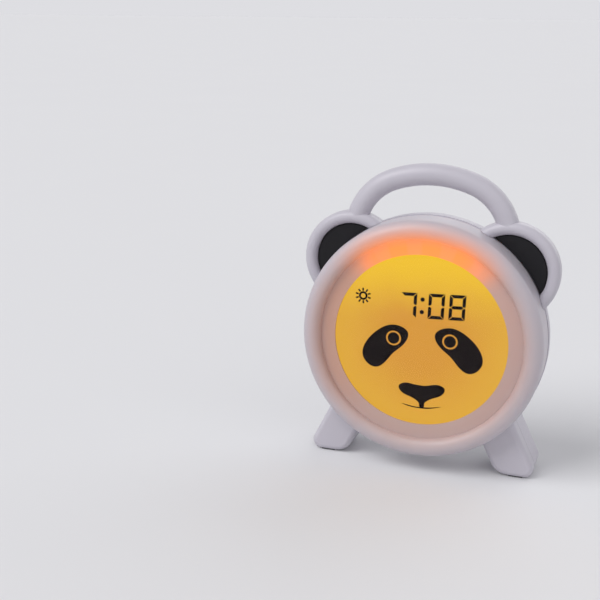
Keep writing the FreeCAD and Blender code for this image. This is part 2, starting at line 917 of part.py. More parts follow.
def foot_pad_box(name, side, span, gap):
    """The place of one rubber pad under a foot, widened by a gap for its recess."""
    middle = foot_across - 1.0
    half = foot_pad_width / 2 + gap
    left = side * middle - half
    front = foot_front + span[0] - gap
    deep = span[1] - span[0] + as_size(gap) * 2
    return box(name, left, front, ground, half * 2, deep, foot_pad_thickness)


def foot_recesses():
    spots = [(side, span) for side in (-1, 1) for span in foot_pad_spans]
    return [foot_pad_box("PadRecess", side, span, 0.15) for side, span in spots]


def make_front_shell(casing, ring_spots, cup_spots):
    half = common("FrontHalf", casing, half_space("FrontSide", 0, split_depth))
    clearance = cylinder("RingRoom", ring_radius + fit_gap / 2, ring_depth * 2, 0, -ring_depth, 0)
    open_half = cut("FrontOpen", half, [clearance])
    added = [open_half]
    bulkhead_radius = ring_radius - ring_wall - fit_gap
    added.append(cylinder("Bulkhead", bulkhead_radius, bulkhead_thickness, 0, cup_back, 0))
    boss_radius = pillar_radius - 0.4
    for across, up in pillar_spots:
        added.append(cylinder("Boss", boss_radius, pillar_foot - cup_back - 1, across, cup_back + 1, up))
    for across, up in cup_spots:
        added.append(cylinder("CupBoss", boss_radius, 7, across, cup_back + 1, up))
    whole = fuse("FrontWhole", added)
    bored = []
    for across, up in pillar_spots:
        bored.append(cylinder("BossBore", screw_radius, pillar_foot, across, bulkhead_back + 1, up))
    for across, up in cup_spots:
        bored.append(cylinder("CupBore", screw_radius, pillar_foot, across, cup_back - 1, up))
    for across, up in ring_spots:
        bored.append(cylinder("RingHole", screw_radius + fit_gap, 6, across, cup_back - 1, up))
    for across, up in backlight_lead_spots + [night_lead_spot]:
        bored.append(cylinder("LeadHole", lead_radius + fit_gap, 6, across, cup_back - 1, up))
    slot = plate("BulkheadSlot", [ribbon_slot()], cup_back - 1, 6)
    shell = cut("front_shell", whole, bored + [slot] + foot_recesses())
    piece(shell, "front_shell")


def grille_holes():
    spots = [(0, 0)]
    for count, radius in ((6, 5.5), (12, 11.0)):
        for index in range(count):
            spots.append(polar(as_size(radius), index * 360 / count))
    return [(across, speaker_height + up, grille_hole) for across, up in spots]


def bay_box(name, inset, front, back):
    """The battery bay in plan, widened by the inset, between two depths."""
    half_length = bay_length / 2 + inset
    half_height = bay_half_height() + inset
    return box(name, -half_length, front, bay_centre - half_height,
               half_length * 2, back - front, half_height * 2)


def bay_half_height():
    return cell_pitch * 1.5 + 0.3


def bay_floor():
    return back_depth - door_thickness - fit_gap - cell_radius * 2


def lug_height():
    return bay_centre + bay_half_height() + door_rim + 2.6


def peg_height():
    return bay_centre - bay_half_height() - door_rim / 2


def board_post_spots():
    return [(across, up) for across in (-36, 32) for up in (3, 17)]


def make_rear_shell(casing):
    added = [common("RearHalf", casing, half_space("RearSide", split_depth, body_depth))]
    inside = turned("RearBounds", outside_path(shell_wall / 2, bulkhead_back, back_depth - shell_wall / 2))
    fittings = []
    for across, up in pillar_spots:
        fittings.append(cylinder("Pillar", pillar_radius, body_depth, across, pillar_foot, up))
    fittings.append(bay_box("BayOuter", bay_wall, bay_floor() - bay_wall, back_depth))
    collar = speaker_radius + fit_gap
    collar_front = back_inside - collar_reach
    outer = cylinder("CollarOuter", collar + collar_wall, body_depth, 0, collar_front, speaker_height)
    inner = cylinder("CollarInner", collar, body_depth, 0, collar_front - cut_past, speaker_height)
    fittings.append(cut("SpeakerCollar", outer, [inner]))
    for across, up in board_post_spots():
        fittings.append(cylinder("Post", post_radius, body_depth, across, board_back, up))
    shelf_bottom = socket_height - socket_tall / 2 - board_thickness - shelf_thickness
    shelf_left = socket_across - shelf_width / 2
    fittings.append(box("SocketShelf", shelf_left, back_depth - shelf_length, shelf_bottom,
                        shelf_width, shelf_length, shelf_thickness))
    lug_boss = lug_radius + fit_gap + collar_wall
    lug_front = board_back + cut_past
    fittings.append(cylinder("LugBoss", lug_boss, body_depth, 0, lug_front, lug_height()))
    added.append(common("RearFittings", fuse("Fittings", fittings), inside))
    whole = fuse("RearWhole", added)
    holes = []
    for across, up in pillar_spots:
        head_way = pillar_foot + screw_seat
        holes.append(cylinder("HeadWay", screw_head_radius + fit_gap, body_depth, across, head_way, up))
        screw_way = pillar_foot - cut_past
        holes.append(cylinder("ScrewWay", screw_radius + screw_gap, body_depth, across, screw_way, up))
    for across, up in board_post_spots():
        post_bore = board_back - cut_past
        holes.append(cylinder("PostBore", screw_radius, back_inside - board_back, across, post_bore, up))
    holes.append(bay_box("BayInner", 0, bay_floor(), body_depth))
    recess = door_rim + fit_gap
    holes.append(bay_box("DoorRecess", recess, back_depth - door_thickness, body_depth))
    lug_seat = back_depth - lug_thickness - fit_gap
    holes.append(cylinder("LugRecess", lug_radius + fit_gap, body_depth, 0, lug_seat, lug_height()))
    lug_bore = lug_front + cut_past
    holes.append(cylinder("LugBore", screw_radius + fit_gap, body_depth, 0, lug_bore, lug_height()))
    peg_end = back_depth - door_thickness - peg_length - fit_gap
    for across in door_pegs:
        holes.append(cylinder("PegSocket", peg_radius + fit_gap, body_depth, across, peg_end, peg_height()))
    through = [(across, button_row_height, button_radius + fit_gap) for across in button_places()]
    back_reach = shell_wall + cut_past * 2
    holes.append(plate("BackHoles", through + grille_holes(), back_inside - cut_past, back_reach))
    slot_length = slider_travel + slider_width + fit_gap * 2
    slot_tall = slider_tall + fit_gap * 2
    slot_left = slider_across - slider_width / 2 - fit_gap
    slot = rectangle(slot_left, button_row_height - slot_tall / 2, slot_length, slot_tall)
    mouth = rectangle(socket_across - socket_width / 2 - fit_gap,
                      socket_height - socket_tall / 2 - fit_gap,
                      socket_width + fit_gap * 2, socket_tall + fit_gap * 2)
    holes.append(plate("BackSlots", [slot, mouth], back_inside - cut_past, back_reach))
    shell = cut("rear_shell", whole, holes + foot_recesses())
    piece(shell, "rear_shell")


def make_foot_pads():
    pads = []
    for side in (-1, 1):
        for span in foot_pad_spans:
            pads.append(foot_pad_box("FootPad", side, span, 0))
    group("foot_pads", pads)


# Ear buttons and their switches


def ear_press_spot():
    """The point of an ear's pad that stands clear of the drum, where its switch is."""
    reach = drum_radius + 7
    angle = math.degrees(math.atan2(ear_up.number, ear_across.number))
    return polar(reach, angle)


def make_ear_button(name, side):
    flange_front = ear_lip_depth + fit_gap
    button = turned(name + "Disc", [
        (0, ear_pad_depth),
        (ear_pad_radius - 0.8, ear_pad_depth, 0.8),
        (ear_pad_radius, ear_pad_depth + 0.8),
        (ear_pad_radius, flange_front),
        (ear_pad_radius + 2, flange_front),
        (ear_pad_radius + 2, flange_front + 1.2),
        (ear_pad_radius - 1, flange_front + 1.2),
        (ear_pad_radius - 1, ear_pad_depth + 2),
        (0, ear_pad_depth + 2),
    ])
    put(button, side * ear_across, 0, ear_up)
    spot = ear_press_spot()
    stem_front = ear_pad_depth + 1.5
    stem_back = ear_switch_front() + switch_height - button_travel - fit_gap - 0.1
    stem = cylinder(name + "Stem", stem_radius, stem_back - stem_front, side * spot[0], stem_front, spot[1])
    room = cylinder(name + "Room", drum_radius + fit_gap, body_depth, 0, 0, 0)
    whole = fuse(name + "Whole", [button, stem])
    piece(cut(name, whole, [room]), name)


def ear_switch_front():
    return ear_back - ear_wall - 1.2 - switch_height


def tact_switch(name, across, depth, up):
    """A square push switch, bored for the stem of its button."""
    half = switch_side / 2
    block = box(name + "Block", across - half, depth, up - half, switch_side, switch_height, switch_side)
    bore = cylinder(name + "Bore", stem_radius + fit_gap, switch_height + 2, across, depth - 1, up)
    return cut(name, block, [bore])


def make_ear_switches():
    spot = ear_press_spot()
    boards = []
    switches = []
    for side in (-1, 1):
        across = side * spot[0]
        front = ear_switch_front()
        boards.append(box("EarBoard", across - 5, front + switch_height, spot[1] - 4, 10, 1.2, 8))
        switches.append(tact_switch("EarSwitch", across, front, spot[1]))
    group("ear_switch_boards", boards)
    group("ear_switches", switches)


# Controls on the back


def button_places():
    return [first_button + button_pitch * step for step in range(5)]


def make_back_button(name, across):
    stem_back = main_board_depth + board_thickness + button_travel + fit_gap + 0.1
    button = turned(name, [
        (0, stem_back),
        (stem_radius, stem_back),
        (stem_radius, button_inside - button_flange),
        (button_radius + 1.3, button_inside - button_flange),
        (button_radius + 1.3, button_inside),
        (button_radius, button_inside),
        (button_radius, back_depth + button_proud - 0.8, 0.8),
        (button_radius - 0.8, back_depth + button_proud),
        (0, back_depth + button_proud),
    ])
    button.Label = name
    put(button, across, face_depth, centre_height + button_row_height)
    pieces.append(button)


def make_back_buttons():
    names = ["set_button", "minus_button", "plus_button", "light_button", "volume_button"]
    switches = []
    for name, across in zip(names, button_places()):
        make_back_button(name, across)
        switches.append(tact_switch("RowSwitch", across, board_back, button_row_height))
    group("button_switches", switches)


def make_slider():
    left = slider_across - 2
    low = button_row_height - 1.6
    knob_back = back_depth + button_proud - 0.4
    knob = box("SliderKnob", left, button_inside - 1, low, 4, knob_back - button_inside + 1, 3.2)
    flange = box("SliderFlange", left - 2.5, button_inside - 1.2, low - 1.6, 9, 1.2, 6.4)
    stem_front = board_back + switch_height + fit_gap
    stem = box("SliderStem", left + 1, stem_front, low + 0.6, 2, button_inside - 1 - stem_front, 2)
    whole = fuse("SliderWhole", [knob, flange, stem])
    grooves = []
    for step in range(3):
        groove = box("SliderGroove", left + 0.7 + step, knob_back - 0.4, low - 1, 0.5, 1, 6)
        grooves.append(groove)
    piece(cut("alarm_slider", whole, grooves), "alarm_slider")
    middle = slider_across + slider_travel / 2
    base = box("SlideSwitchBlock", middle - 5, board_back, button_row_height - 2.5, 10, switch_height, 5)
    group("slide_switch", [base])


# Main board and what stands on it


def make_main_board():
    board = plate("main_board", [rectangle(main_board_left, 0, main_board_width, main_board_height)],
                  main_board_depth, board_thickness)
    holes = [(across, up, screw_radius + fit_gap) for across, up in board_post_spots()]
    extrude(board, holes, main_board_depth, board_thickness, "Pocket")
    piece(board, "main_board")
    chip = turned("clock_chip", [
        (0, main_board_depth - 1.8),
        (3.2, main_board_depth - 1.8, 2.6),
        (5.5, main_board_depth - 0.4),
        (5.5, main_board_depth),
        (0, main_board_depth),
    ])
    chip.Label = "clock_chip"
    put(chip, 15, face_depth, centre_height + 10)
    pieces.append(chip)
    can = box("CrystalCan", 22, main_board_depth - 2, 12, 6, 2, 2)
    group("timing_crystal", [can])
    cans = [cylinder("Capacitor", 2.5, 6, across, main_board_depth - 6, 14) for across in (-14, -21)]
    group("capacitors", cans)
    headers = [box("Header", across - 4, main_board_depth - 4, 3, 8, 4, 4) for across in (-46, -24)]
    group("wire_headers", headers)


# Speaker


def make_speaker():
    flange = back_inside - gasket_thickness
    inner = speaker_radius - speaker_rim
    well = flange - 8
    gasket = turned("speaker_gasket", [
        (inner, flange), (speaker_radius, flange), (speaker_radius, back_inside), (inner, back_inside),
    ])
    frame = turned("speaker_frame", [
        (inner, flange),
        (inner, flange - 1.2),
        (magnet_radius - 0.6, well + 1),
        (0, well + 1),
        (0, well),
        (magnet_radius, well),
        (inner + 1, flange - 1.6),
        (speaker_radius, flange - 1.2),
        (speaker_radius, flange),
    ])
    cone = turned("speaker_cone", [
        (inner - 0.2, flange - 0.6),
        (inner - 0.2, flange - 0.2),
        (inner - 2.5, flange - 0.2),
        (5, flange - 4.6),
        (0, flange - 3.4),
        (0, flange - 3.9),
        (5, flange - 5.2),
        (inner - 2.3, flange - 0.7),
    ])
    magnet = turned("speaker_magnet", [
        (0, well - magnet_thickness),
        (magnet_radius - 0.6, well - magnet_thickness),
        (magnet_radius, well - magnet_thickness + 0.6),
        (magnet_radius, well),
        (0, well),
    ])
    for item in (gasket, frame, cone, magnet):
        item.Label = item.Name
        put(item, 0, face_depth, centre_height + speaker_height)
        pieces.append(item)
    return well - magnet_thickness


# Batteries


def cell_heights():
    return [bay_centre + cell_pitch * step for step in (-1, 0, 1)]


def along_x(name, radius, length, left, depth, up):
    item = doc.addObject("Part::Cylinder", name)
    item.setExpression("Radius", as_size(radius).formula)
    item.setExpression("Height", as_size(length).formula)
    item.Placement.Rotation = FreeCAD.Rotation(FreeCAD.Vector(0, 1, 0), 90)
    return put(item, left, depth, up)


def make_batteries():
    depth = bay_floor() + cell_radius
    half = bay_length / 2
    cells = []
    plates = []
    springs = []
    for step, up in enumerate(cell_heights()):
        side = 1 if step % 2 == 0 else -1
        tip = half - contact_thickness
        start = tip - cell_nub - cell_length if side > 0 else cell_nub - tip
        body = along_x("CellBody", cell_radius, cell_length, start, depth, up)
        nub_left = tip - cell_nub if side > 0 else -tip
        nub = along_x("CellNub", 2.7, cell_nub, nub_left, depth, up)
        cells.append(fuse("Cell", [body, nub]))
        for end in (-1, 1):
            left = tip if end > 0 else -half
            plates.append(box("ContactPlate", left, depth - 5, up - 5, contact_thickness, 10, 10))
        springs.append(contact_spring(side, depth, up))
    group("battery_cells", cells)
    group("battery_contacts", plates)
    group("battery_springs", springs)


def contact_spring(side, depth, up):
    """A bent leaf between a cell's flat end and its contact plate."""
    reach = bay_length - contact_thickness * 2 - cell_length - cell_nub
    root = (contact_thickness - bay_length / 2) * side
    tip = root + reach * side
    hollow = tip - spring_leaf * side
    outline = [
        (root, up - spring_spread),
        (tip, up - spring_tip),
        (tip, up + spring_tip),
        (root, up + spring_spread),
        (root, up + spring_spread - spring_leaf * 2),
        (hollow, up + spring_tip - spring_leaf),
        (hollow, up - spring_tip + spring_leaf),
        (root, up - spring_spread + spring_leaf * 2),
    ]
    return plate("ContactLeaf", [outline], depth - spring_width / 2, spring_width)


def make_battery_door():
    front = back_depth - door_thickness
    half_length = bay_length / 2 + door_rim
    half_height = bay_half_height() + door_rim
    panel = rectangle(-half_length, bay_centre - half_height, half_length * 2, half_height * 2)
    slab = plate("DoorSlab", [panel], front, door_thickness)
    lug = cylinder("DoorLug", lug_radius, lug_thickness, 0, back_depth - lug_thickness, lug_height())
    pegs = [cylinder("DoorPeg", peg_radius, peg_length + 0.5, across, front - peg_length, peg_height())
            for across in door_pegs]
    bay = bay_box("DoorInset", fit_gap, 0, front)
    kept_lug = cut("DoorLugTrimmed", lug, [bay])
    whole = fuse("DoorWhole", [slab, kept_lug] + pegs)
    head_room = cylinder("DoorHeadRoom", screw_head_radius + 0.15, body_depth, 0,
                         back_depth - screw_head_height, lug_height())
    bore = cylinder("DoorBore", screw_radius + 0.1, body_depth, 0, 0, lug_height())
    grip = box("DoorGrip", -9, back_depth - 0.7, bay_centre - half_height + 4, 18, 2, 1.4)
    more = [box("DoorGrip", -9, back_depth - 0.7, bay_centre - half_height + 4 + step * 2.8, 18, 2, 1.4)
            for step in (1, 2)]
    piece(cut("battery_door", whole, [head_room, bore, grip] + more), "battery_door")
    screw = screw_solid("door_screw", 4.2)
    screw.Label = "door_screw"
    put(screw, 0, face_depth + back_depth - screw_head_height, centre_height + lug_height())
    pieces.append(screw)


# Screws


def screw_solid(name, shank_length, forward=False):
    """A pan-headed screw. Its head stands behind depth 0 and its shank runs to the front."""
    screw = new_body(name)
    revolve(screw, [
        (0, 0 - as_size(shank_length)),
        (screw_radius - 0.5, 0 - as_size(shank_length)),
        (screw_radius, 1 - as_size(shank_length)),
        (screw_radius, 0),
        (screw_head_radius, 0),
        (screw_head_radius, screw_head_height - 0.6, 0.6),
        (screw_head_radius - 0.6, screw_head_height),
        (0, screw_head_height),
    ])
    wide = screw_head_radius * 0.6
    slim = screw_head_radius * 0.16
    cross = [
        (-slim, slim), (-wide, slim), (-wide, -slim), (-slim, -slim), (-slim, -wide), (slim, -wide),
        (slim, -slim), (wide, -slim), (wide, slim), (slim, slim), (slim, wide), (-slim, wide),
    ]
    extrude(screw, [cross], screw_head_height - 1, 1, "Pocket")
    if forward:
        screw.Placement.Rotation = FreeCAD.Rotation(FreeCAD.Vector(0, 0, 1), 180)
    return screw


def make_screws(ring_spots, cup_spots):
    case = [put(screw_solid("CaseScrew", 8), across, pillar_foot + 2, up) for across, up in pillar_spots]
    group("case_screws", case)
    ring = [put(screw_solid("RingScrew", 8), across, bulkhead_back, up) for across, up in ring_spots]
    group("ring_screws", ring)
    cup_front = cup_back - cup_wall - board_thickness
    cup = [put(screw_solid("CupScrew", 9, True), across, cup_front, up) for across, up in cup_spots]
    group("reflector_screws", cup)
    board = [put(screw_solid("BoardScrew", 5, True), across, main_board_depth, up)
             for across, up in board_post_spots()]
    group("board_screws", board)


# Charging socket


def make_socket():
    left = socket_across - socket_width / 2
    low = socket_height - socket_tall / 2
    front = back_depth - 0.6 - socket_length
    shell = box("SocketShell", left, front, low, socket_width, socket_length, socket_tall)
    mouth = box("SocketMouth", left + 0.4, front + 1.2, low + 0.4, socket_width - 0.8, socket_length,
                socket_tall - 0.8)
    tongue = box("SocketTongue", socket_across - 2.2, front + 1, low + socket_tall * 0.55, 4.4, 3.2, 0.6)
    hollow = cut("SocketHollow", shell, [mouth])
    piece(fuse("usb_socket", [hollow, tongue]), "usb_socket")
    board = box("SocketBoardPlate", socket_across - 7, back_inside - 11, low - board_thickness, 14, 11,
                board_thickness)
    group("socket_board", [board])


# Leads and the display ribbon


def bent_wire(points, bend):
    """A wire of straight runs joined by arcs that touch them."""
    edges = []
    here = points[0]
    for before, corner, after in zip(points, points[1:], points[2:]):
        back = (before - corner).normalize()
        ahead = (after - corner).normalize()
        half = back.getAngle(ahead) / 2
        reach = bend / math.tan(half)
        start = corner + back * reach
        end = corner + ahead * reach
        middle_line = (back + ahead).normalize()
        middle = corner + middle_line * (bend / math.sin(half) - bend)
        edges.append(Part.LineSegment(here, start).toShape())
        edges.append(Part.Arc(start, middle, end).toShape())
        here = end
    edges.append(Part.LineSegment(here, points[-1]).toShape())
    return Part.Wire(edges)


def lead(points, radius, bend):
    spots = [FreeCAD.Vector(*[as_size(value).number for value in point]) for point in points]
    wire = bent_wire(spots, bend) if len(spots) > 2 else Part.makePolygon(spots)
    ahead = spots[1] - spots[0]
    ring = Part.Wire(Part.makeCircle(radius, spots[0], ahead))
    return wire.makePipeShell([ring], True, False)


def leads(name, routes):
    """Insulated leads as a group of separate round solids."""
    item = doc.addObject("Part::Feature", name)
    item.Shape = Part.makeCompound([lead(route, lead_radius.number, 2.5) for route in routes])
    piece(item, name)


def make_leads(magnet_front):
    board = main_board_depth
    leads("backlight_leads", [
        [(across, cup_back - cup_wall, up), (across, board, up)] for across, up in backlight_lead_spots
    ])
    across, up = night_lead_spot
    leads("night_light_leads", [
        [(across, cup_back, up), (across, split_depth + 4, up), (42, split_depth + 4, 12), (42, board, 12)],
    ])
    bay_top = bay_centre + bay_half_height() + bay_wall
    leads("battery_leads", [
        [(side * 12, bay_floor() + 2, bay_top), (side * 12, bay_floor() + 2, 4), (side * 12, board, 4)]
        for side in (-1, 1)
    ])
    leads("speaker_leads", [
        [(step * 4, magnet_front, speaker_height - 6), (step * 4, magnet_front - 4, speaker_height - 6),
         (step * 4, magnet_front - 4, 16), (step * 4, board, 16)]
        for step in (-1, 1)
    ])
    spot = ear_press_spot()
    low = ear_switch_front() + 1.5
    ear_routes = []
    for side in (-1, 1):
        start = (side * (spot[0] - 5), low, spot[1] - 2)
        ear_routes.append([(side * (spot[0] - 3.4), low, spot[1] - 3), (side * 50, low, 40),
                           (side * 44, low + 2, 17), (side * 44, board, 17)])
    leads("ear_leads", ear_routes)


def make_ribbon():
    """The flat ribbon from the display's lower edge to the main board, in side view."""
    low = ribbon_height()
    rise = split_depth + 1.5
    half = ribbon_thickness / 2
    top = 8
    path = [
        (panel_back, low - 1.6),
        (panel_back + ribbon_thickness, low - 1.6),
        (panel_back + ribbon_thickness, low - half),
        (rise + ribbon_thickness, low - half),
        (rise + ribbon_thickness, top - half),
        (main_board_depth, top - half),
        (main_board_depth, top + half),
        (rise, top + half),
        (rise, low + half),
        (panel_back, low + half),
    ]
    ribbon = new_body("display_ribbon")
    sketch = plane_sketch(ribbon, "YZ_Plane")
    draw(sketch, path)
    pad = ribbon.newObject("PartDesign::Pad", "RibbonPad")
    pad.Profile = sketch
    pad.setExpression("Length", ribbon_width.formula)
    pad.Midplane = True
    piece(ribbon, "display_ribbon")


def build():
    ring_spots = make_light_ring()
    cup_spots = [polar(as_size(40), angle) for angle in (90, 210, 330)]
    make_display_stack()
    make_reflector_cup(cup_spots)
    make_backlight_board(cup_spots)
    make_night_light()
    make_digits()
    make_sun()
    make_face()
    casing = casing_solid()
    make_front_shell(casing, ring_spots, cup_spots)
    make_rear_shell(casing)
    make_foot_pads()
    make_ear_button("left_ear_button", -1)
    make_ear_button("right_ear_button", 1)
    make_ear_switches()
    make_back_buttons()
    make_slider()
    make_main_board()
    magnet_front = make_speaker()
    make_batteries()
    make_battery_door()
    make_screws(ring_spots, cup_spots)
    make_socket()
    make_leads(magnet_front)
    make_ribbon()


def check():
    """Stops if anything in the document failed or came out empty or broken."""
    for item in doc.Objects:
        if "Invalid" in item.State or "Error" in item.State:
            raise RuntimeError(f"{item.Name} failed: {item.State}")
    for item in pieces:
        if item.Shape.isNull() or not item.Shape.isValid() or not item.Shape.Solids:
            raise RuntimeError(f"{item.Label} has no valid solid")


def write():
    os.makedirs("parts", exist_ok=True)
    for item in pieces:
        item.Shape.exportStep(f"parts/{item.Label}.step")


build()
doc.recompute()
check()
write()
for item in pieces:
    bounds = item.Shape.optimalBoundingBox()
    print(f"{item.Label}: {len(item.Shape.Solids)} solids, {item.Shape.Volume:.0f} mm3, "
          f"y {bounds.YMin:.2f} to {bounds.YMax:.2f}, z {bounds.ZMin:.2f} to {bounds.ZMax:.2f}")
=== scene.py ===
"""Dresses a child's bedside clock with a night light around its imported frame.

Everything is in metres and in the frame's own axes: +X to the right as seen from the front,
+Y to the back and +Z up, with the table at height 0.
"""

import json
import logging
import math
from dataclasses import dataclass, field
from enum import Enum
from typing import Callable, Sequence

import bpy
from mathutils import Matrix, Vector

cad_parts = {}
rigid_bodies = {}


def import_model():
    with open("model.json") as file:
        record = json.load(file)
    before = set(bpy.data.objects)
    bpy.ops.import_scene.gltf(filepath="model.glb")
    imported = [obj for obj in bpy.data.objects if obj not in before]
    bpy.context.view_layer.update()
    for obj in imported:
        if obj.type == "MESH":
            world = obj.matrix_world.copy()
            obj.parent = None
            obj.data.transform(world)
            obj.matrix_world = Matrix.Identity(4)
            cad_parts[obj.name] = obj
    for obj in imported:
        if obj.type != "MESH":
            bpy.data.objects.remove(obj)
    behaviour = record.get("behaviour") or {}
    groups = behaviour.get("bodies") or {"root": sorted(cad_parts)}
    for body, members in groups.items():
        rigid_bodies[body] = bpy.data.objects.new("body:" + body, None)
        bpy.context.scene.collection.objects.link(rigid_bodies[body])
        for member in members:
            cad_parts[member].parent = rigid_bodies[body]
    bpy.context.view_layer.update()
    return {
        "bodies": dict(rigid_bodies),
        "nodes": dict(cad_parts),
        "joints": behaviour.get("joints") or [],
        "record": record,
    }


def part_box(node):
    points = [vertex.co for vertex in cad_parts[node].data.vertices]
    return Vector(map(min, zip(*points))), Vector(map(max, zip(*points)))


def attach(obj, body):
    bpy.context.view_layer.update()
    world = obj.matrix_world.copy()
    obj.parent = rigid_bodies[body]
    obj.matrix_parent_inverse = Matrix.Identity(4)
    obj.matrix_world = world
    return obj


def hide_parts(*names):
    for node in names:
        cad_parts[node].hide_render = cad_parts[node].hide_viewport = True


LOG = logging.getLogger("bedside_clock")

Colour = tuple[float, float, float, float]
Span = tuple[float, float]
Triple = Sequence[float]

CLOUD: Span = (0.2, 0.8)
EVEN: Triple = (1.0, 1.0, 1.0)


def srgb(red: int, green: int, blue: int) -> Colour:
    """Turns a colour written in 0 to 255 into the linear values that shaders use.

    Args:
        red: Red from 0 to 255.
        green: Green from 0 to 255.
        blue: Blue from 0 to 255.

    Returns:
        The linear colour with full alpha.
    """
    linear = []
    for part in (red, green, blue):
        share = part / 255
        linear.append(share / 12.92 if share <= 0.04045 else ((share + 0.055) / 1.055) ** 2.4)
    return (linear[0], linear[1], linear[2], 1.0)


def toned(colour: Colour, factor: float) -> Colour:
    """Returns the colour made lighter or darker by a factor."""
    return (colour[0] * factor, colour[1] * factor, colour[2] * factor, 1.0)


@dataclass(frozen=True)
class ClockPlan:
    """The clock's main lines in the frame."""

    centre_up: float = 0.0903
    floor_front: float = -0.0207
    split_back: float = 0.0013
    back_face: float = 0.0248
    display_radius: float = 0.0570
    floor_radius: float = 0.0665
    crest_radius: float = 0.0715
    ring_radius: float = 0.0790


PLAN = ClockPlan()


class Grain(Enum):
    """How fine a moulded surface's texture is, in noise cells per metre."""

    POLISHED = 420.0
    SATIN = 1500.0
    SPARKED = 3200.0


class Shade:
    """One material's node sheet, with short ways to add the nodes that the finishes use."""

    def __init__(self, name: str) -> None:
        """Starts a sheet with a plain surface shader.

        Args:
            name: The material's name.
        """
        self.material = bpy.data.materials.new(name)
        self.material.use_nodes = True
        self.tree = self.material.node_tree
        self.surface = self.tree.nodes["Principled BSDF"]
        self.place = self.tree.nodes.new("ShaderNodeTexCoord").outputs["Object"]
        parts = self.tree.nodes.new("ShaderNodeSeparateXYZ")
        self.tree.links.new(self.place, parts.inputs[0])
        self.across, self.back, self.up = parts.outputs

    def feed(self, socket: bpy.types.NodeSocket, item: object) -> None:
        """Links a socket to an output, or sets it to a plain value.

        Args:
            socket: The input to fill.
            item: An output socket, a number or a colour.
        """
        if isinstance(item, bpy.types.NodeSocket):
            self.tree.links.new(item, socket)
        else:
            socket.default_value = item

    def set(self, **values: object) -> None:
        """Fills the surface shader's inputs by their names, with spaces written as underscores.

        Args:
            **values: Input names and what they get.
        """
        for name, item in values.items():
            self.feed(self.surface.inputs[name.replace("_", " ")], item)

    def sum(self, operation: str, first: object, second: object = 0.0) -> bpy.types.NodeSocket:
        """Adds a maths node.

        Args:
            operation: The node's operation, such as ADD.
            first: Its first input.
            second: Its second input.

        Returns:
            The node's output.
        """
        node = self.tree.nodes.new("ShaderNodeMath")
        node.operation = operation
        self.feed(node.inputs[0], first)
        self.feed(node.inputs[1], second)
        return node.outputs[0]

    def rise(self, value: object, span: Span, out: Span = (0.0, 1.0)) -> bpy.types.NodeSocket:
        """Turns a value into a smooth step.

        Args:
            value: The value to read.
            span: Where the step starts and ends.
            out: What it gives before and after the step.

        Returns:
            The stepped value.
        """
        node = self.tree.nodes.new("ShaderNodeMapRange")
        node.interpolation_type = "SMOOTHSTEP"
        self.feed(node.inputs[0], value)
        for socket, number in zip(node.inputs[1:5], span + out):
            socket.default_value = number
        return node.outputs[0]

    def noise(self, scale: float, detail: float = 2.0, stretch: Triple = EVEN) -> bpy.types.NodeSocket:
        """Adds noise over the piece's own place.

        Args:
            scale: Noise cells per metre.
            detail: How many finer layers it has.
            stretch: How the place is scaled along each axis.

        Returns:
            The noise, from 0 to 1.
        """
        node = self.tree.nodes.new("ShaderNodeTexNoise")
        node.inputs["Scale"].default_value = scale
        node.inputs["Detail"].default_value = detail
        place = self.place
        if stretch != EVEN:
            mapping = self.tree.nodes.new("ShaderNodeMapping")
            mapping.inputs["Scale"].default_value = stretch
            self.tree.links.new(self.place, mapping.inputs[0])
            place = mapping.outputs[0]
        self.tree.links.new(place, node.inputs["Vector"])
        return node.outputs[0]

    def cells(self, scale: float, feature: str = "F1") -> bpy.types.NodeSocket:
        """Adds a cell pattern over the piece's own place.

        Args:
            scale: Cells per metre.
            feature: Which distance of the cells is given.

        Returns:
            The distance.
        """
        node = self.tree.nodes.new("ShaderNodeTexVoronoi")
        node.feature = feature
        node.inputs["Scale"].default_value = scale
        self.tree.links.new(self.place, node.inputs["Vector"])
        return node.outputs["Distance"]

    def ramp(self, value: object, stops: Sequence[tuple[float, Colour]]) -> bpy.types.NodeSocket:
        """Turns a value into a colour.

        Args:
            value: The value, from 0 to 1.
            stops: Where each colour stands.

        Returns:
            The colour.
        """
        node = self.tree.nodes.new("ShaderNodeValToRGB")
        marks = node.color_ramp.elements
        while len(marks) < len(stops):
            marks.new(1.0)
        for mark, (where, colour) in zip(marks, stops):
            mark.position = where
            mark.color = colour
        self.feed(node.inputs[0], value)
        return node.outputs[0]

    def mix(self, share: object, first: object, second: object, mode: str = "MIX") -> bpy.types.NodeSocket:
        """Mixes two colours.

        Args:
            share: How much of the second there is.
            first: The first colour.
            second: The second colour.
            mode: How they are mixed.

        Returns:
            The mixed colour.
        """
        node = self.tree.nodes.new("ShaderNodeMix")
        node.data_type = "RGBA"
        node.blend_type = mode
        self.feed(node.inputs[0], share)
        self.feed(node.inputs[6], first)
        self.feed(node.inputs[7], second)
        return node.outputs[2]

    def relief(self, height: bpy.types.NodeSocket, deep: float, strength: float = 1.0) -> None:
        """Gives the surface a relief.

        Args:
            height: The relief's height, from 0 to 1.
            deep: How many metres the height stands for.
            strength: How much of it is used.
        """
        node = self.tree.nodes.new("ShaderNodeBump")
        node.inputs["Strength"].default_value = strength
        node.inputs["Distance"].default_value = deep
        self.tree.links.new(height, node.inputs["Height"])
        self.tree.links.new(node.outputs[0], self.surface.inputs["Normal"])

    def radius(self, centre_up: float = PLAN.centre_up) -> bpy.types.NodeSocket:
        """The distance from the display's axis, or from another axis above or below it.

        Args:
            centre_up: The axis's height.

        Returns:
            The distance in metres.
        """
        height = self.sum("SUBTRACT", self.up, centre_up)
        squares = self.sum("ADD", self.sum("POWER", self.across, 2.0), self.sum("POWER", height, 2.0))
        return self.sum("SQRT", squares)


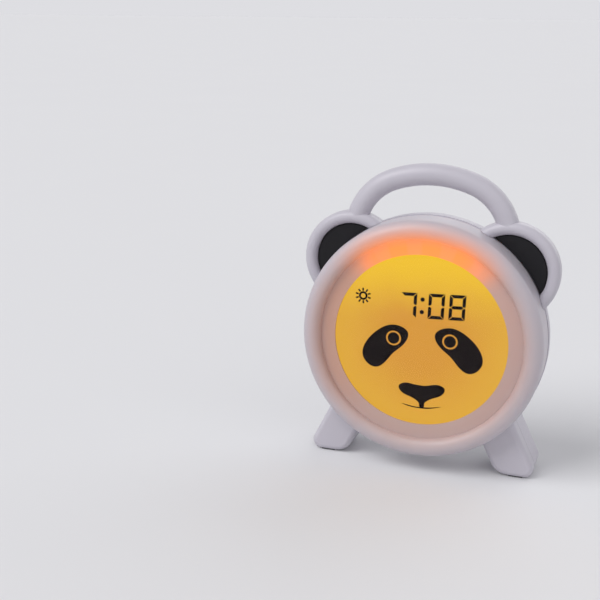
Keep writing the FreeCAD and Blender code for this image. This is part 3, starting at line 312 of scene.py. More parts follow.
@dataclass(frozen=True)
class Finish:
    """A named surface finish."""

    name: str

    def make(self) -> bpy.types.Material:
        """Builds the finish's material."""
        sheet = Shade(self.name)
        self.paint(sheet)
        return sheet.material

    def paint(self, sheet: Shade) -> None:
        """Adds the finish's nodes to its sheet.

        Args:
            sheet: The sheet to fill.
        """
        raise NotImplementedError(self.name)


@dataclass(frozen=True)
class MouldedPlastic(Finish):
    """Moulded plastic with a faint mottle, an even fine texture and, on the casing, a parting line."""

    colour: Colour = (0.5, 0.5, 0.5, 1.0)
    roughness: float = 0.42
    grain: Grain = Grain.SATIN
    mottle: float = 0.05
    parting: bool = False
    gloss: float = 0.5
    cloud_scale: float = 34.0
    line_half: Span = (0.00010, 0.00036)
    line_depth: float = 0.62
    scuff_scale: float = 210.0
    scuff_stretch: Triple = (1, 1, 3)
    grain_deep: float = 0.00004

    def paint(self, sheet: Shade) -> None:
        """Adds the plastic's nodes.

        Args:
            sheet: The sheet to fill.
        """
        cloud = sheet.noise(self.cloud_scale, 3.0)
        colour = sheet.mix(cloud, toned(self.colour, 1 - self.mottle), toned(self.colour, 1 + self.mottle))
        if self.parting:
            off = sheet.sum("ABSOLUTE", sheet.sum("SUBTRACT", sheet.back, PLAN.split_back))
            line = sheet.rise(off, self.line_half, (self.line_depth, 0.0))
            colour = sheet.mix(line, colour, toned(self.colour, 0.25))
        sheet.set(Base_Color=colour, Specular_IOR_Level=self.gloss)
        scuffs = sheet.noise(self.scuff_scale, 4.0, self.scuff_stretch)
        sheet.set(Roughness=sheet.rise(scuffs, CLOUD, (self.roughness - 0.05, self.roughness + 0.06)))
        sheet.relief(sheet.noise(self.grain.value, 2.0), self.grain_deep, 0.5)


@dataclass(frozen=True)
class GlowingPlastic(Finish):
    """Frosted plastic lit from behind by a row of warm lamps along its top."""

    shell: Colour = srgb(190, 184, 192)
    floor: Colour = srgb(192, 160, 151)
    floor_left: Colour = srgb(197, 153, 134)
    floor_low: Colour = srgb(192, 164, 156)
    flame: Colour = srgb(246, 132, 58)
    blush: Colour = srgb(238, 142, 90)
    drift_scale: float = 30.0
    drift_reach: float = 0.003
    heart_power: float = 0.74
    veil_power: float = 0.40
    haze_power: float = 0.07
    lamp_share: float = 0.45
    grain_deep: float = 0.00003

    def paint(self, sheet: Shade) -> None:
        """Adds the ring's nodes: its pale crest, its warm floor and the light that comes through.

        Args:
            sheet: The sheet to fill.
        """
        radius = sheet.radius()
        height = sheet.sum("SUBTRACT", sheet.up, PLAN.centre_up)
        reach = sheet.sum("MAXIMUM", radius, 0.001)
        turn = sheet.sum("DIVIDE", height, reach)
        side = sheet.sum("DIVIDE", sheet.across, reach)
        drift = sheet.noise(self.drift_scale, 2.0)
        shift = sheet.sum("MULTIPLY", sheet.sum("SUBTRACT", drift, 0.5), self.drift_reach)
        edge = sheet.sum("ADD", radius, shift)
        inward = sheet.rise(edge, (PLAN.floor_radius - 0.0050, PLAN.crest_radius + 0.0025), (1.0, 0.0))
        warm = sheet.rise(edge, (PLAN.crest_radius - 0.003, PLAN.ring_radius + 0.002), (1.0, 0.0))
        front = sheet.rise(sheet.back, (PLAN.floor_front - 0.001, PLAN.floor_front + 0.010), (1.0, 0.0))
        base = self.moulding(sheet, (turn, side, drift), (inward, warm))
        lamps = sheet.sum("MULTIPLY", self.lamp_row(sheet, height), self.lamp_share)
        lamps = sheet.sum("ADD", lamps, 1 - self.lamp_share)
        lit = sheet.sum("MULTIPLY", inward, front)
        near = sheet.sum("MULTIPLY", sheet.rise(turn, (0.64, 0.95)), lamps)
        heart = sheet.sum("MULTIPLY", near, lit)
        over = sheet.sum("MULTIPLY", warm, front)
        veil = sheet.sum("MULTIPLY", sheet.rise(turn, (0.55, 0.98)), over)
        haze = sheet.sum("MULTIPLY", sheet.rise(turn, (-0.30, 0.90)), lit)
        base = sheet.mix(sheet.sum("MULTIPLY", veil, 0.60), base, toned(self.blush, 0.62))
        sheet.set(Base_Color=sheet.mix(heart, base, toned(self.flame, 0.30)), Roughness=0.46)
        power = sheet.sum("MULTIPLY", heart, self.heart_power)
        power = sheet.sum("ADD", power, sheet.sum("MULTIPLY", veil, self.veil_power))
        power = sheet.sum("ADD", power, sheet.sum("MULTIPLY", haze, self.haze_power))
        sheet.set(Emission_Color=sheet.mix(heart, self.blush, self.flame), Emission_Strength=power)
        sheet.set(Subsurface_Weight=0.12, Subsurface_Radius=(0.006, 0.003, 0.002))
        sheet.set(Coat_Weight=0.10, Coat_Roughness=0.3)
        sheet.relief(sheet.noise(Grain.SATIN.value, 2.0), self.grain_deep, 0.5)

    def moulding(self, sheet: Shade, places: Sequence[object],
                 shares: Sequence[object]) -> bpy.types.NodeSocket:
        """The plastic's own colour, from the pale crest to the warm floor.

        Args:
            sheet: The sheet to fill.
            places: How far up and to the right the surface lies, from -1 to 1, and the drift.
            shares: How much of the floor's colour the floor and the crest take.

        Returns:
            The colour.
        """
        turn, side, drift = places
        inward, warm = shares
        floor = sheet.mix(sheet.rise(side, (-0.95, 0.10), (1.0, 0.0)), self.floor, self.floor_left)
        floor = sheet.mix(sheet.rise(turn, (-1.0, -0.40), (0.8, 0.0)), floor, self.floor_low)
        crest = sheet.mix(sheet.sum("MULTIPLY", warm, 0.45), self.shell, floor)
        base = sheet.mix(inward, crest, floor)
        return sheet.mix(sheet.sum("MULTIPLY", drift, 0.10), base, toned(self.shell, 0.85))

    @staticmethod
    def lamp_row(sheet: Shade, height: bpy.types.NodeSocket) -> bpy.types.NodeSocket:
        """The soft steps of light where the lamps sit behind the floor.

        Args:
            sheet: The sheet to fill.
            height: The height above the display's centre.

        Returns:
            The steps' strength, from 0 to 1.
        """
        angle = sheet.sum("ARCTAN2", sheet.across, height)
        wave = sheet.sum("SINE", sheet.sum("MULTIPLY", angle, 18.0))
        return sheet.rise(wave, (-0.55, 0.15), (0.55, 1.0))


@dataclass(frozen=True)
class LitPanel(Finish):
    """The display's lit panel: amber, yellower towards its top and rim."""

    heart: Colour = srgb(214, 150, 58)
    rim: Colour = srgb(222, 168, 60)
    crown: Colour = srgb(241, 194, 48)

    def paint(self, sheet: Shade) -> None:
        """Adds the panel's nodes.

        Args:
            sheet: The sheet to fill.
        """
        radius = sheet.radius()
        cloud = sheet.sum("MULTIPLY", sheet.sum("SUBTRACT", sheet.noise(30.0, 2.0), 0.5), 0.018)
        edge = sheet.rise(sheet.sum("ADD", radius, cloud), (0.016, 0.060))
        height = sheet.sum("ADD", sheet.sum("SUBTRACT", sheet.up, PLAN.centre_up), cloud)
        top = sheet.rise(height, (0.012, 0.054))
        colour = sheet.mix(edge, self.heart, self.rim)
        colour = sheet.mix(top, colour, self.crown)
        sheet.set(Base_Color=(0.02, 0.015, 0.005, 1.0), Emission_Color=colour, Emission_Strength=1.0)
        sheet.set(Roughness=sheet.rise(sheet.noise(160.0), CLOUD, (0.34, 0.42)))
        sheet.set(Specular_IOR_Level=0.15)


@dataclass(frozen=True)
class ClearWindow(Finish):
    """The clear window before the display."""

    tint: Colour = (0.99, 0.985, 0.96, 1.0)

    def paint(self, sheet: Shade) -> None:
        """Adds the window's nodes.

        Args:
            sheet: The sheet to fill.
        """
        smears = sheet.noise(55.0, 4.0)
        sheet.set(Base_Color=sheet.mix(smears, self.tint, toned(self.tint, 0.985)))
        sheet.set(Transmission_Weight=1.0, IOR=1.12, Roughness=0.0)


@dataclass(frozen=True)
class DarkSegment(Finish):
    """The display's dark segments."""

    colour: Colour = srgb(16, 6, 10)

    def paint(self, sheet: Shade) -> None:
        """Adds the segments' nodes.

        Args:
            sheet: The sheet to fill.
        """
        cloud = sheet.noise(400.0, 2.0)
        sheet.set(Base_Color=sheet.mix(cloud, toned(self.colour, 0.6), toned(self.colour, 1.5)))
        sheet.set(Roughness=0.5, Specular_IOR_Level=0.15)


@dataclass(frozen=True)
class SoftRubber(Finish):
    """Rubber or foam with a dull, pitted skin."""

    colour: Colour = (0.05, 0.05, 0.05, 1.0)
    pits: float = 1400.0
    deep: float = 0.00008

    def paint(self, sheet: Shade) -> None:
        """Adds the rubber's nodes.

        Args:
            sheet: The sheet to fill.
        """
        dust = sheet.noise(120.0, 4.0)
        sheet.set(Base_Color=sheet.mix(dust, toned(self.colour, 0.8), toned(self.colour, 1.35)))
        sheet.set(Roughness=sheet.rise(dust, CLOUD, (0.72, 0.9)))
        sheet.relief(sheet.cells(self.pits), self.deep)


@dataclass(frozen=True)
class PlatedSteel(Finish):
    """Zinc-plated steel with fine drawing marks and a little tarnish."""

    colour: Colour = srgb(186, 188, 192)

    def paint(self, sheet: Shade) -> None:
        """Adds the steel's nodes.

        Args:
            sheet: The sheet to fill.
        """
        tarnish = sheet.rise(sheet.noise(190.0, 4.0), (0.45, 0.75))
        marks = sheet.noise(900.0, 2.0, (1.0, 1.0, 12.0))
        sheet.set(Base_Color=sheet.mix(tarnish, self.colour, toned(self.colour, 0.72)), Metallic=1.0)
        sheet.set(Roughness=sheet.rise(marks, CLOUD, (0.26, 0.42)))
        sheet.relief(marks, 0.00002, 0.5)


@dataclass(frozen=True)
class BoardLaminate(Finish):
    """A circuit board: green mask over paler copper lines, with small bare pads."""

    mask: Colour = srgb(22, 84, 48)
    line: Colour = srgb(48, 128, 74)
    pad: Colour = srgb(196, 168, 96)

    def paint(self, sheet: Shade) -> None:
        """Adds the board's nodes.

        Args:
            sheet: The sheet to fill.
        """
        bend = sheet.sum("MULTIPLY", sheet.noise(60.0, 1.0), 0.02)
        rows = sheet.sum("SINE", sheet.sum("MULTIPLY", sheet.sum("ADD", sheet.up, bend), 3600.0))
        lines = sheet.rise(rows, (0.45, 0.7))
        gates = sheet.rise(sheet.noise(85.0, 0.0), (0.46, 0.50))
        colour = sheet.mix(sheet.sum("MULTIPLY", lines, gates), self.mask, self.line)
        pads = sheet.rise(sheet.cells(240.0), (0.12, 0.16), (1.0, 0.0))
        sheet.set(Base_Color=sheet.mix(pads, colour, self.pad), Roughness=0.36)
        sheet.relief(lines, 0.00004, 0.6)


@dataclass(frozen=True)
class LampLens(Finish):
    """A small lamp's lens, glowing in the middle."""

    colour: Colour = srgb(255, 150, 60)

    def paint(self, sheet: Shade) -> None:
        """Adds the lens's nodes.

        Args:
            sheet: The sheet to fill.
        """
        cloud = sheet.noise(500.0)
        sheet.set(Base_Color=sheet.mix(cloud, self.colour, srgb(255, 214, 140)), Roughness=0.2)
        sheet.set(Emission_Color=self.colour, Emission_Strength=sheet.rise(cloud, (0.3, 0.7), (0.8, 1.6)))


@dataclass(frozen=True)
class PaperCone(Finish):
    """A speaker's paper cone: dark fibres pressed in rings."""

    colour: Colour = srgb(40, 38, 38)
    axis_up: float = 0.1303

    def paint(self, sheet: Shade) -> None:
        """Adds the cone's nodes.

        Args:
            sheet: The sheet to fill.
        """
        rings = sheet.sum("SINE", sheet.sum("MULTIPLY", sheet.radius(self.axis_up), 4200.0))
        fibres = sheet.noise(900.0, 4.0, (1, 1, 4))
        sheet.set(Base_Color=sheet.mix(fibres, toned(self.colour, 0.6), toned(self.colour, 1.6)))
        sheet.set(Roughness=0.88)
        sheet.relief(sheet.rise(rings, (-1.0, 1.0)), 0.00012)


@dataclass(frozen=True)
class CellWrap(Finish):
    """A battery cell's printed wrap, dark with a copper band at the contact end, and bare steel ends."""

    dark: Colour = srgb(44, 46, 52)
    band: Colour = srgb(190, 122, 62)
    bare: Colour = srgb(176, 178, 182)
    middle_up: float = 0.0623
    half_pitch: float = 0.0074

    def paint(self, sheet: Shade) -> None:
        """Adds the wrap's nodes.

        Args:
            sheet: The sheet to fill.
        """
        off = sheet.sum("ABSOLUTE", sheet.sum("SUBTRACT", sheet.up, self.middle_up))
        flip = sheet.rise(off, (self.half_pitch - 0.0001, self.half_pitch + 0.0001), (-1.0, 1.0))
        along = sheet.sum("MULTIPLY", sheet.across, flip)
        banded = sheet.rise(along, (0.0100, 0.0102))
        ended = sheet.rise(sheet.sum("ABSOLUTE", sheet.across), (0.0258, 0.0259))
        wrap = sheet.mix(banded, self.dark, self.band)
        scuffs = sheet.noise(260.0, 3.0)
        wrap = sheet.mix(sheet.sum("MULTIPLY", scuffs, 0.25), wrap, toned(self.bare, 0.5))
        sheet.set(Base_Color=sheet.mix(ended, wrap, self.bare), Metallic=ended)
        sheet.set(Roughness=sheet.rise(scuffs, CLOUD, (0.24, 0.36)))


@dataclass(frozen=True)
class LeadSleeve(Finish):
    """The soft sleeves of paired leads, red on the right of each pair and black on the left."""

    right: Colour = srgb(168, 30, 26)
    left: Colour = srgb(28, 28, 30)
    divide: float = 0.0

    def paint(self, sheet: Shade) -> None:
        """Adds the sleeves' nodes.

        Args:
            sheet: The sheet to fill.
        """
        side = sheet.rise(sheet.across, (self.divide - 0.0001, self.divide + 0.0001))
        cloud = sheet.noise(300.0, 2.0)
        colour = sheet.mix(side, self.left, self.right)
        sheet.set(Base_Color=sheet.mix(sheet.sum("MULTIPLY", cloud, 0.2), colour, srgb(90, 80, 80)))
        sheet.set(Roughness=sheet.rise(cloud, CLOUD, (0.34, 0.5)))


@dataclass(frozen=True)
class RibbonFilm(Finish):
    """Amber film with copper lines along it."""

    film: Colour = srgb(176, 116, 40)
    copper: Colour = srgb(112, 62, 28)

    def paint(self, sheet: Shade) -> None:
        """Adds the film's nodes.

        Args:
            sheet: The sheet to fill.
        """
        rows = sheet.sum("SINE", sheet.sum("MULTIPLY", sheet.across, 2 * math.pi / 0.0008))
        lines = sheet.rise(rows, (-0.1, 0.3))
        edge = sheet.rise(sheet.sum("ABSOLUTE", sheet.across), (0.0070, 0.0072), (1.0, 0.0))
        sheet.set(Base_Color=sheet.mix(sheet.sum("MULTIPLY", lines, edge), self.film, self.copper))
        sheet.set(Roughness=sheet.rise(sheet.noise(150.0), CLOUD, (0.24, 0.38)))


@dataclass(frozen=True)
class WovenCloth(Finish):
    """Fine black cloth behind the speaker's holes."""

    colour: Colour = srgb(26, 26, 28)
    pitch: float = 0.0005

    def paint(self, sheet: Shade) -> None:
        """Adds the cloth's nodes.

        Args:
            sheet: The sheet to fill.
        """
        turns = 2 * math.pi / self.pitch
        warp = sheet.sum("SINE", sheet.sum("MULTIPLY", sheet.across, turns))
        weft = sheet.sum("SINE", sheet.sum("MULTIPLY", sheet.up, turns))
        weave = sheet.rise(sheet.sum("MULTIPLY", warp, weft), (-1.0, 1.0))
        sheet.set(Base_Color=sheet.mix(weave, toned(self.colour, 0.4), toned(self.colour, 1.8)))
        sheet.set(Roughness=0.9)
        sheet.relief(weave, 0.00015)


OFF_WHITE = srgb(190, 186, 195)
NEAR_BLACK = srgb(13, 11, 16)
CUP_WHITE = srgb(222, 221, 216)
MID_GREY = srgb(138, 138, 146)

FINISHES: dict[str, Finish] = {
    "frosted_plastic": GlowingPlastic("frosted_plastic_lit_from_behind"),
    "white_plastic": MouldedPlastic("off_white_moulded_plastic", OFF_WHITE, 0.40, Grain.SATIN, 0.03, True),
    "black_plastic": MouldedPlastic("black_moulded_plastic", NEAR_BLACK, 0.40, Grain.SATIN, 0.15, gloss=0.3),
    "clear_window": ClearWindow("clear_display_window"),
    "display_glass": LitPanel("lit_amber_panel"),
    "dark_segments": DarkSegment("dark_display_segments"),
    "amber_diffuser": LitPanel("amber_diffuser_sheet"),
    "reflector_white": MouldedPlastic("white_reflector_plastic", CUP_WHITE, 0.6, Grain.SPARKED, 0.03),
    "circuit_board": BoardLaminate("green_circuit_board"),
    "lamp_amber": LampLens("amber_lamp_lens"),
    "chip_epoxy": MouldedPlastic("black_chip_resin", srgb(30, 30, 32), 0.5, Grain.SPARKED, 0.2),
    "steel": PlatedSteel("zinc_plated_steel"),
    "speaker_paper": PaperCone("speaker_cone_paper"),
    "gasket_foam": SoftRubber("black_gasket_foam", srgb(36, 36, 38), 2600.0, 0.0002),
    "pad_rubber": SoftRubber("grey_foot_rubber", srgb(92, 92, 94)),
    "grey_plastic": MouldedPlastic("grey_button_plastic", MID_GREY, 0.36, Grain.SATIN, 0.04),
    "cell_wrap": CellWrap("battery_cell_wrap"),
    "lead_sleeve": LeadSleeve("lead_sleeve_soft_plastic"),
    "ribbon_film": RibbonFilm("display_ribbon_film"),
}
SPEAKER_CLOTH = WovenCloth("speaker_cloth_black")
MARK_WHITE = MouldedPlastic("white_mark_inlay", srgb(226, 226, 228), 0.45, Grain.POLISHED, 0.02)


class Bench:
    """The modelling bench: primitives, edit-mode shaping, and the last touches every piece gets."""

    def __init__(self, frame: dict) -> None:
        """Keeps the frame and the materials made so far.
        """
        self.frame = frame
        self.made: dict[str, bpy.types.Material] = {}
        self.slots = {entry["node"]: entry["material_slot"] for entry in frame["record"]["subparts"]}

    def material(self, finish: Finish) -> bpy.types.Material:
        """Gives a finish's material, made once.

        Args:
            finish: The finish.

        Returns:
            Its material.
        """
        if finish.name not in self.made:
            self.made[finish.name] = finish.make()
        return self.made[finish.name]

    def dress(self, node: str) -> None:
        """Gives a carried node the finish of its slot.

        Args:
            node: The node's name.
        """
        item = self.frame["nodes"][node]
        item.data.materials.clear()
        item.data.materials.append(self.material(FINISHES[self.slots[node]]))
        LOG.info("dressed %s", node)

    @staticmethod
    def clear() -> None:
        """Leaves nothing selected, in object mode."""
        if bpy.context.mode != "OBJECT":
            bpy.ops.object.mode_set(mode="OBJECT")
        bpy.ops.object.select_all(action="DESELECT")

    @staticmethod
    def pick(item: bpy.types.Object) -> None:
        """Selects one object alone and makes it active.

        Args:
            item: The object.
        """
        Bench.clear()
        item.select_set(True)
        bpy.context.view_layer.objects.active = item

    @staticmethod
    def choose(item: bpy.types.Object, test: Callable[[bpy.types.MeshPolygon], bool]) -> None:
        """Selects the faces that pass a test and opens the piece in edit mode.

        Args:
            item: The piece.
            test: Says whether a face is chosen.
        """
        Bench.pick(item)
        bpy.ops.object.mode_set(mode="EDIT")
        bpy.ops.mesh.select_mode(type="FACE")
        bpy.ops.mesh.select_all(action="DESELECT")
        bpy.ops.object.mode_set(mode="OBJECT")
        for face in item.data.polygons:
            face.select = test(face)
        bpy.ops.object.mode_set(mode="EDIT")

    def slab(self, name: str, middle: Vector, size: Vector) -> bpy.types.Object:
        """Adds a block at its size and place.

        Args:
            name: The piece's name.
            middle: Its middle.
            size: Its whole size along each axis.

        Returns:
            The block.
        """
        self.clear()
        bpy.ops.mesh.primitive_cube_add(size=1.0, location=middle)
        item = bpy.context.active_object
        item.name = name
        item.scale = size
        self.settle(item)
        return item

    def disc(self, name: str, middle: Vector, radius: float, deep: float,
             sides: int = 48) -> bpy.types.Object:
        """Adds a round disc that faces the back.

        Args:
            name: The piece's name.
            middle: Its middle.
            radius: Its radius.
            deep: Its thickness from front to back.
            sides: How many sides its rim has.

        Returns:
            The disc.
        """
        self.clear()
        bpy.ops.mesh.primitive_cylinder_add(vertices=sides, radius=radius, depth=deep, location=middle,
                                            rotation=(math.pi / 2, 0, 0))
        item = bpy.context.active_object
        item.name = name
        self.settle(item)
        return item

    @staticmethod
    def settle(item: bpy.types.Object) -> None:
        """Puts a piece's place, turn and size into its mesh.

        Args:
            item: The piece.
        """
        Bench.pick(item)
        bpy.ops.object.transform_apply(location=True, rotation=True, scale=True)

    @staticmethod
    def soften(item: bpy.types.Object, width: float, segments: int = 3) -> None:
        """Rounds a piece's sharp edges.

        Args:
            item: The piece.
            width: How wide the rounding is.
            segments: How many faces it has across.
        """
        Bench.pick(item)
        bevel = item.modifiers.new("soft_edges", "BEVEL")
        bevel.width = width
        bevel.segments = segments
        bevel.limit_method = "ANGLE"
        bevel.angle_limit = math.radians(40)
        bpy.ops.object.modifier_apply(modifier=bevel.name)

    def finish(self, item: bpy.types.Object, body: str, finish: Finish, slot: str) -> bpy.types.Object:
        """Smooths a finished piece, gives it its material and sets it on its body.

        Args:
            item: The piece.
            body: The body that it rides on.
            finish: Its finish.
            slot: The record's slot that it goes with.

        Returns:
            The piece.
        """
        self.pick(item)
        bpy.ops.object.shade_smooth_by_angle(angle=math.radians(34))
        item.data.materials.clear()
        item.data.materials.append(self.material(finish))
        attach(item, body)
        LOG.info("built %s on %s", item.name, body)
        return item

    def smooth_copy(self, node: str, name: str, body: str, angle: float = 32.0) -> bpy.types.Object:
        """Makes a merged, smoothly shaded copy of a node that stands for it.

        Args:
            node: The node's name.
            name: The copy's name.
            body: The body that the node is on.
            angle: The steepest edge, in degrees, that is still shaded smoothly.

        Returns:
            The copy.
        """
        source = self.frame["nodes"][node]
        item = bpy.data.objects.new(name, source.data.copy())
        bpy.context.scene.collection.objects.link(item)
        self.pick(item)
        bpy.ops.object.mode_set(mode="EDIT")
        bpy.ops.mesh.select_all(action="SELECT")
        bpy.ops.mesh.remove_doubles(threshold=0.000002)
        bpy.ops.mesh.tris_convert_to_quads(face_threshold=math.radians(3), shape_threshold=math.radians(60))
        bpy.ops.object.mode_set(mode="OBJECT")
        bpy.ops.mesh.customdata_custom_splitnormals_clear()
        bpy.ops.object.shade_smooth_by_angle(angle=math.radians(angle))
        item.data.materials.clear()
        slot = self.slots[node]
        item.data.materials.append(self.material(FINISHES[slot]))
        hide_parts(node)
        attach(item, body)
        LOG.info("built %s from %s on %s", name, node, body)
        return item


@dataclass
class LightRing:
    """The frosted ring at the front, and the lamps and board behind it."""

    bench: Bench
    hidden: Sequence[str] = ("night_light_board", "night_light_leds", "night_light_leads", "ring_screws")

    def build(self) -> None:
        """Builds the ring and dresses what is behind it."""
        self.bench.smooth_copy("light_ring", "frosted_light_ring", "case", 40.0)
        for node in self.hidden:
            self.bench.dress(node)


@dataclass
class Display:
    """The display: window, segments, lit panel, diffuser, reflector and backlight."""

    bench: Bench
    carried: Sequence[str] = (
        "display_window", "lcd_panel", "clock_digits", "sun_symbol", "face_symbol", "backlight_diffuser",
        "reflector_cup", "backlight_board", "backlight_leds", "backlight_leads", "reflector_screws",
        "display_ribbon",
    )

    def build(self) -> None:
        """Dresses the display's pieces."""
        for node in self.carried:
            self.bench.dress(node)


@dataclass
class Casing:
    """The two half shells with the ears, the handle and the feet, and the pads under the feet."""

    bench: Bench

    def build(self) -> None:
        """Builds the shells and dresses the pads and screws."""
        self.bench.smooth_copy("front_shell", "front_case_shell", "case", 36.0)
        self.bench.smooth_copy("rear_shell", "rear_case_shell", "case", 36.0)
        self.bench.dress("foot_pads")
        self.bench.dress("case_screws")


@dataclass
class Ears:
    """The black ear pads and the switches behind them."""

    bench: Bench

    def build(self) -> None:
        """Builds the pads and dresses their switches."""
        for side in ("left", "right"):
            self.bench.smooth_copy(f"{side}_ear_button", f"{side}_ear_pad", f"{side}_ear", 36.0)
        for node in ("ear_switch_boards", "ear_switches", "ear_leads"):
            self.bench.dress(node)


class Mark(Enum):
    """The raised marks on the back buttons."""

    SET = "set"
    MINUS = "minus"
    PLUS = "plus"
    LIGHT = "light"
    VOLUME = "volume"


@dataclass
class BackControls:
    """The row of buttons and the slider on the back, with raised marks on the buttons."""

    bench: Bench
    proud: float = 0.00012
    thick: float = 0.0004
    stroke: float = 0.0009
    reach: float = 0.0042
    edge: float = 0.00008
    rays: int = 8
    bars: int = 3
    marks: Sequence[Mark] = field(default_factory=lambda: tuple(Mark))

    def build(self) -> None:
        """Builds the buttons with their marks and dresses the slider and the switches."""
        for mark in self.marks:
            button = f"{mark.value}_button"
            low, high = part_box(button)
            face = Vector(((low.x + high.x) / 2, high.y, (low.z + high.z) / 2))
            self.bench.smooth_copy(button, f"{mark.value}_key_cap", f"{mark.value}_key", 30.0)
            for item in self.shapes(mark, face):
                self.bench.soften(item, self.edge, 2)
                self.bench.finish(item, f"{mark.value}_key", MARK_WHITE, "grey_plastic")
        self.bench.smooth_copy("alarm_slider", "alarm_slider_knob", "alarm_key", 30.0)
        for node in ("button_switches", "slide_switch"):
            self.bench.dress(node)

    def bar(self, name: str, face: Vector, offset: Span, size: Span) -> bpy.types.Object:
        """One raised bar on a button's face.

        Args:
            name: The bar's name.
            face: The middle of the button's face.
            offset: How far across and up the bar's middle is.
            size: Its width and its height.

        Returns:
            The bar.
        """
        middle = face + Vector((offset[0], self.proud - self.thick / 2, offset[1]))
        return self.bench.slab(name, middle, Vector((size[0], self.thick, size[1])))

    def ring(self, name: str, face: Vector, radius: float) -> bpy.types.Object:
        """A raised ring on a button's face.

        Args:
            name: The ring's name.
            face: The middle of the button's face.
            radius: Its outer radius.

        Returns:
            The ring.
        """
        middle = face + Vector((0, self.proud - self.thick / 2, 0))
        item = self.bench.disc(name, middle, radius, self.thick)
        self.bench.choose(item, lambda face_: face_.normal.y > 0.9)
        bpy.ops.mesh.inset(thickness=self.stroke * 0.7)
        bpy.ops.mesh.extrude_region_move(TRANSFORM_OT_translate={"value": (0, -self.thick * 0.6, 0)})
        bpy.ops.object.mode_set(mode="OBJECT")
        return item

    def shapes(self, mark: Mark, face: Vector) -> list[bpy.types.Object]:
        """The raised shapes of a mark.

        Args:
            mark: Which mark.
            face: The middle of the button's face.

        Returns:
            Its pieces.
        """
        name = f"{mark.value}_mark"
        wide = self.reach
        slim = self.stroke
        if mark is Mark.MINUS:
            return [self.bar(name, face, (0, 0), (wide, slim))]
        if mark is Mark.PLUS:
            item = self.bar(name, face, (0, 0), (slim, slim))
            arm = (wide - slim) / 2
            for axis in (Vector((1, 0, 0)), Vector((-1, 0, 0)), Vector((0, 0, 1)), Vector((0, 0, -1))):
                self.bench.choose(item, lambda side, axis=axis: side.normal.dot(axis) > 0.9
                                  and abs((side.center - face).cross(axis).y) < slim * 0.3)
                bpy.ops.mesh.extrude_region_move(TRANSFORM_OT_translate={"value": axis * arm})
                bpy.ops.object.mode_set(mode="OBJECT")
            return [item]
        if mark is Mark.SET:
            return [self.ring(name, face, wide * 0.5)]
        if mark is Mark.LIGHT:
            pieces = [self.ring(name, face, wide * 0.3)]
            for index in range(self.rays):
                turn = math.tau * index / self.rays
                away = Vector((math.cos(turn), 0, math.sin(turn))) * wide * 0.46
                ray = self.bar(f"{name}_ray_{index}", face, (away.x, away.z), (slim, slim * 0.45))
                self.bench.pick(ray)
                bpy.ops.transform.rotate(value=turn, orient_axis="Y", center_override=face + away)
                self.bench.settle(ray)
                pieces.append(ray)
            return pieces
        bars = []
        for index in range(self.bars):
            tall = wide * (0.4 + 0.3 * index)
            offset = ((1 - index) * slim * 1.6, (tall - wide) / 2)
            bars.append(self.bar(f"{name}_bar_{index}", face, offset, (slim, tall)))
        return bars


@dataclass
class BatteryBay:
    """The cells, their contacts, and the door with its raised arrow."""

    bench: Bench
    arrow: float = 0.0032
    arrow_up: float = 0.0180
    proud: float = 0.0003
    sunk: float = 0.0004
    edge: float = 0.0002

    def build(self) -> None:
        """Builds the door and its arrow and dresses what lies in the bay."""
        self.bench.smooth_copy("battery_door", "battery_door_panel", "battery_cover", 30.0)
        low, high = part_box("battery_door")
        back = PLAN.back_face + (self.proud - self.sunk) / 2
        middle = Vector(((low.x + high.x) / 2, back, low.z + self.arrow_up))
        arrow = self.bench.disc("battery_door_arrow", middle, self.arrow, self.sunk + self.proud, 3)
        self.bench.soften(arrow, self.edge)
        self.bench.finish(arrow, "battery_cover", FINISHES["white_plastic"], "white_plastic")
        for node in ("battery_cells", "battery_contacts", "battery_springs", "battery_leads", "door_screw"):
            self.bench.dress(node)


@dataclass
class Speaker:
    """The speaker and the cloth behind the holes in the back."""

    bench: Bench
    cloth_radius: float = 0.0168
    cloth_thick: float = 0.0004
    cloth_hem: float = 0.0008
    cloth_edge: float = 0.0001

    def build(self) -> None:
        """Builds the cloth and dresses the speaker."""
        low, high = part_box("speaker_gasket")
        middle = Vector(((low.x + high.x) / 2, high.y - self.cloth_thick, (low.z + high.z) / 2))
        cloth = self.bench.disc("speaker_cloth", middle, self.cloth_radius, self.cloth_thick, 64)
        self.bench.choose(cloth, lambda face: abs(face.normal.y) > 0.9)
        bpy.ops.mesh.inset(thickness=self.cloth_hem)
        bpy.ops.object.mode_set(mode="OBJECT")
        self.bench.soften(cloth, self.cloth_edge, 2)
        self.bench.finish(cloth, "case", SPEAKER_CLOTH, "gasket_foam")
        for node in ("speaker_gasket", "speaker_frame", "speaker_cone", "speaker_magnet", "speaker_leads"):
            self.bench.dress(node)


@dataclass
class Electronics:
    """The main board with its parts, and the charging socket."""

    bench: Bench
    carried: Sequence[str] = (
        "main_board", "clock_chip", "timing_crystal", "capacitors", "wire_headers", "board_screws",
        "usb_socket", "socket_board",
    )

    def build(self) -> None:
        """Dresses the boards' pieces."""
        for node in self.carried:
            self.bench.dress(node)


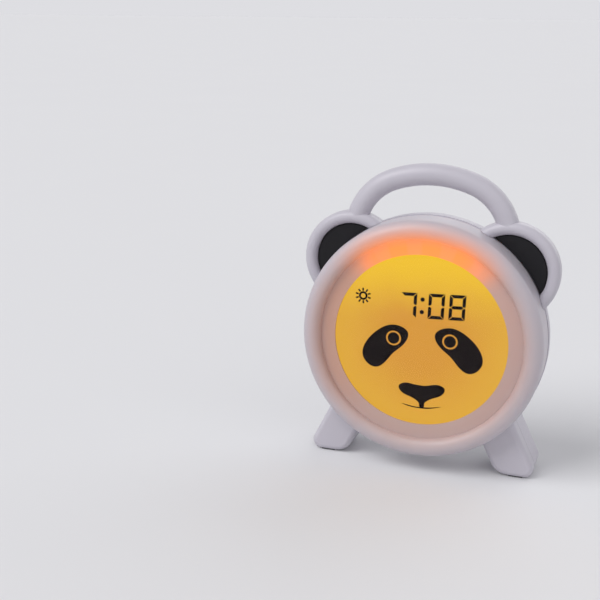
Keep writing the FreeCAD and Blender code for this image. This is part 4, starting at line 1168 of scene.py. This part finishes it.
@dataclass
class Studio:
    """A plain pale floor, soft light from the front's two sides and from behind, and the camera."""

    eye: Vector = field(default_factory=lambda: Vector((0.14320, -0.65476, 0.29364)))
    ahead: Vector = field(default_factory=lambda: Vector((-0.32251, 0.90914, -0.26352)))
    roll: float = 0.008
    lens: float = 63.0
    paper: Colour = srgb(226, 226, 228)
    far: Colour = srgb(222, 222, 226)
    sky: Colour = srgb(232, 232, 236)
    sky_strength: float = 0.50
    floor_side: float = 160.0

    def build(self) -> None:
        """Sets the floor, the lights, the world and the camera."""
        self.floor()
        self.sun("key_sun", Vector((-0.62, -0.60, 0.85)), 40.0, 1.75)
        self.sun("fill_sun", Vector((0.80, -0.75, 0.55)), 60.0, 0.45)
        self.sun("back_sun", Vector((0.35, 0.90, 0.40)), 70.0, 0.90)
        self.world()
        self.camera()

    def floor(self) -> None:
        """Lays the floor."""
        Bench.clear()
        bpy.ops.mesh.primitive_plane_add(size=self.floor_side, location=(0, 0, 0))
        floor = bpy.context.active_object
        floor.name = "studio_floor"
        sheet = Shade("studio_floor_paper")
        cloud = sheet.noise(3.0, 2.0)
        sheet.set(Base_Color=sheet.mix(cloud, toned(self.paper, 0.985), self.paper))
        sheet.set(Roughness=0.9, Specular_IOR_Level=0.0)
        floor.data.materials.append(sheet.material)

    def sun(self, name: str, toward: Vector, spread: float, power: float) -> None:
        """Sets a wide soft light that falls alike on the clock and the whole floor.

        Args:
            name: The light's name.
            toward: The direction that the light comes from.
            spread: How wide it is in the sky, in degrees.
            power: Its strength.
        """
        light = bpy.data.lights.new(name, "SUN")
        light.angle = math.radians(spread)
        light.energy = power
        item = bpy.data.objects.new(name, light)
        bpy.context.scene.collection.objects.link(item)
        item.rotation_euler = (-toward).to_track_quat("-Z", "Y").to_euler()

    def world(self) -> None:
        """Lights the scene evenly from all round, with a plain pale backdrop behind the floor."""
        world = bpy.data.worlds.new("studio_world")
        world.use_nodes = True
        tree = world.node_tree
        light = tree.nodes["Background"]
        light.inputs["Color"].default_value = self.sky
        light.inputs["Strength"].default_value = self.sky_strength
        seen = tree.nodes.new("ShaderNodeBackground")
        seen.inputs["Color"].default_value = self.far
        path = tree.nodes.new("ShaderNodeLightPath")
        rays = path.outputs["Is Camera Ray"]
        for extra in ("Is Glossy Ray", "Is Transmission Ray"):
            add = tree.nodes.new("ShaderNodeMath")
            add.operation = "ADD"
            add.use_clamp = True
            tree.links.new(rays, add.inputs[0])
            tree.links.new(path.outputs[extra], add.inputs[1])
            rays = add.outputs[0]
        both = tree.nodes.new("ShaderNodeMixShader")
        tree.links.new(rays, both.inputs[0])
        tree.links.new(light.outputs[0], both.inputs[1])
        tree.links.new(seen.outputs[0], both.inputs[2])
        tree.links.new(both.outputs[0], tree.nodes["World Output"].inputs["Surface"])
        bpy.context.scene.world = world

    def camera(self) -> None:
        """Sets the camera where the photograph was taken from."""
        lens = bpy.data.cameras.new("clock_camera")
        lens.sensor_width = 36.0
        lens.lens = self.lens
        lens.clip_start = 0.01
        item = bpy.data.objects.new("clock_camera", lens)
        bpy.context.scene.collection.objects.link(item)
        ahead = self.ahead.normalized()
        right = ahead.cross(Vector((0, 0, 1))).normalized()
        top = right.cross(ahead)
        turned_right = right * math.cos(self.roll) + top * math.sin(self.roll)
        turned_top = top * math.cos(self.roll) - right * math.sin(self.roll)
        turn = Matrix((turned_right, turned_top, -ahead)).transposed()
        item.matrix_world = Matrix.Translation(self.eye) @ turn.to_4x4()
        bpy.context.scene.camera = item


def main() -> None:
    """Builds the clock's sub-assemblies in order around the frame."""
    logging.basicConfig(level=logging.INFO, format="%(message)s")
    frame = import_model()
    bpy.context.scene.view_settings.view_transform = "Standard"
    bench = Bench(frame)
    Studio().build()
    for assembly in (LightRing, Display, Casing, Ears, BackControls, BatteryBay, Speaker, Electronics):
        assembly(bench).build()
        LOG.info("finished %s", assembly.__name__)


if __name__ == "__main__":
    main()
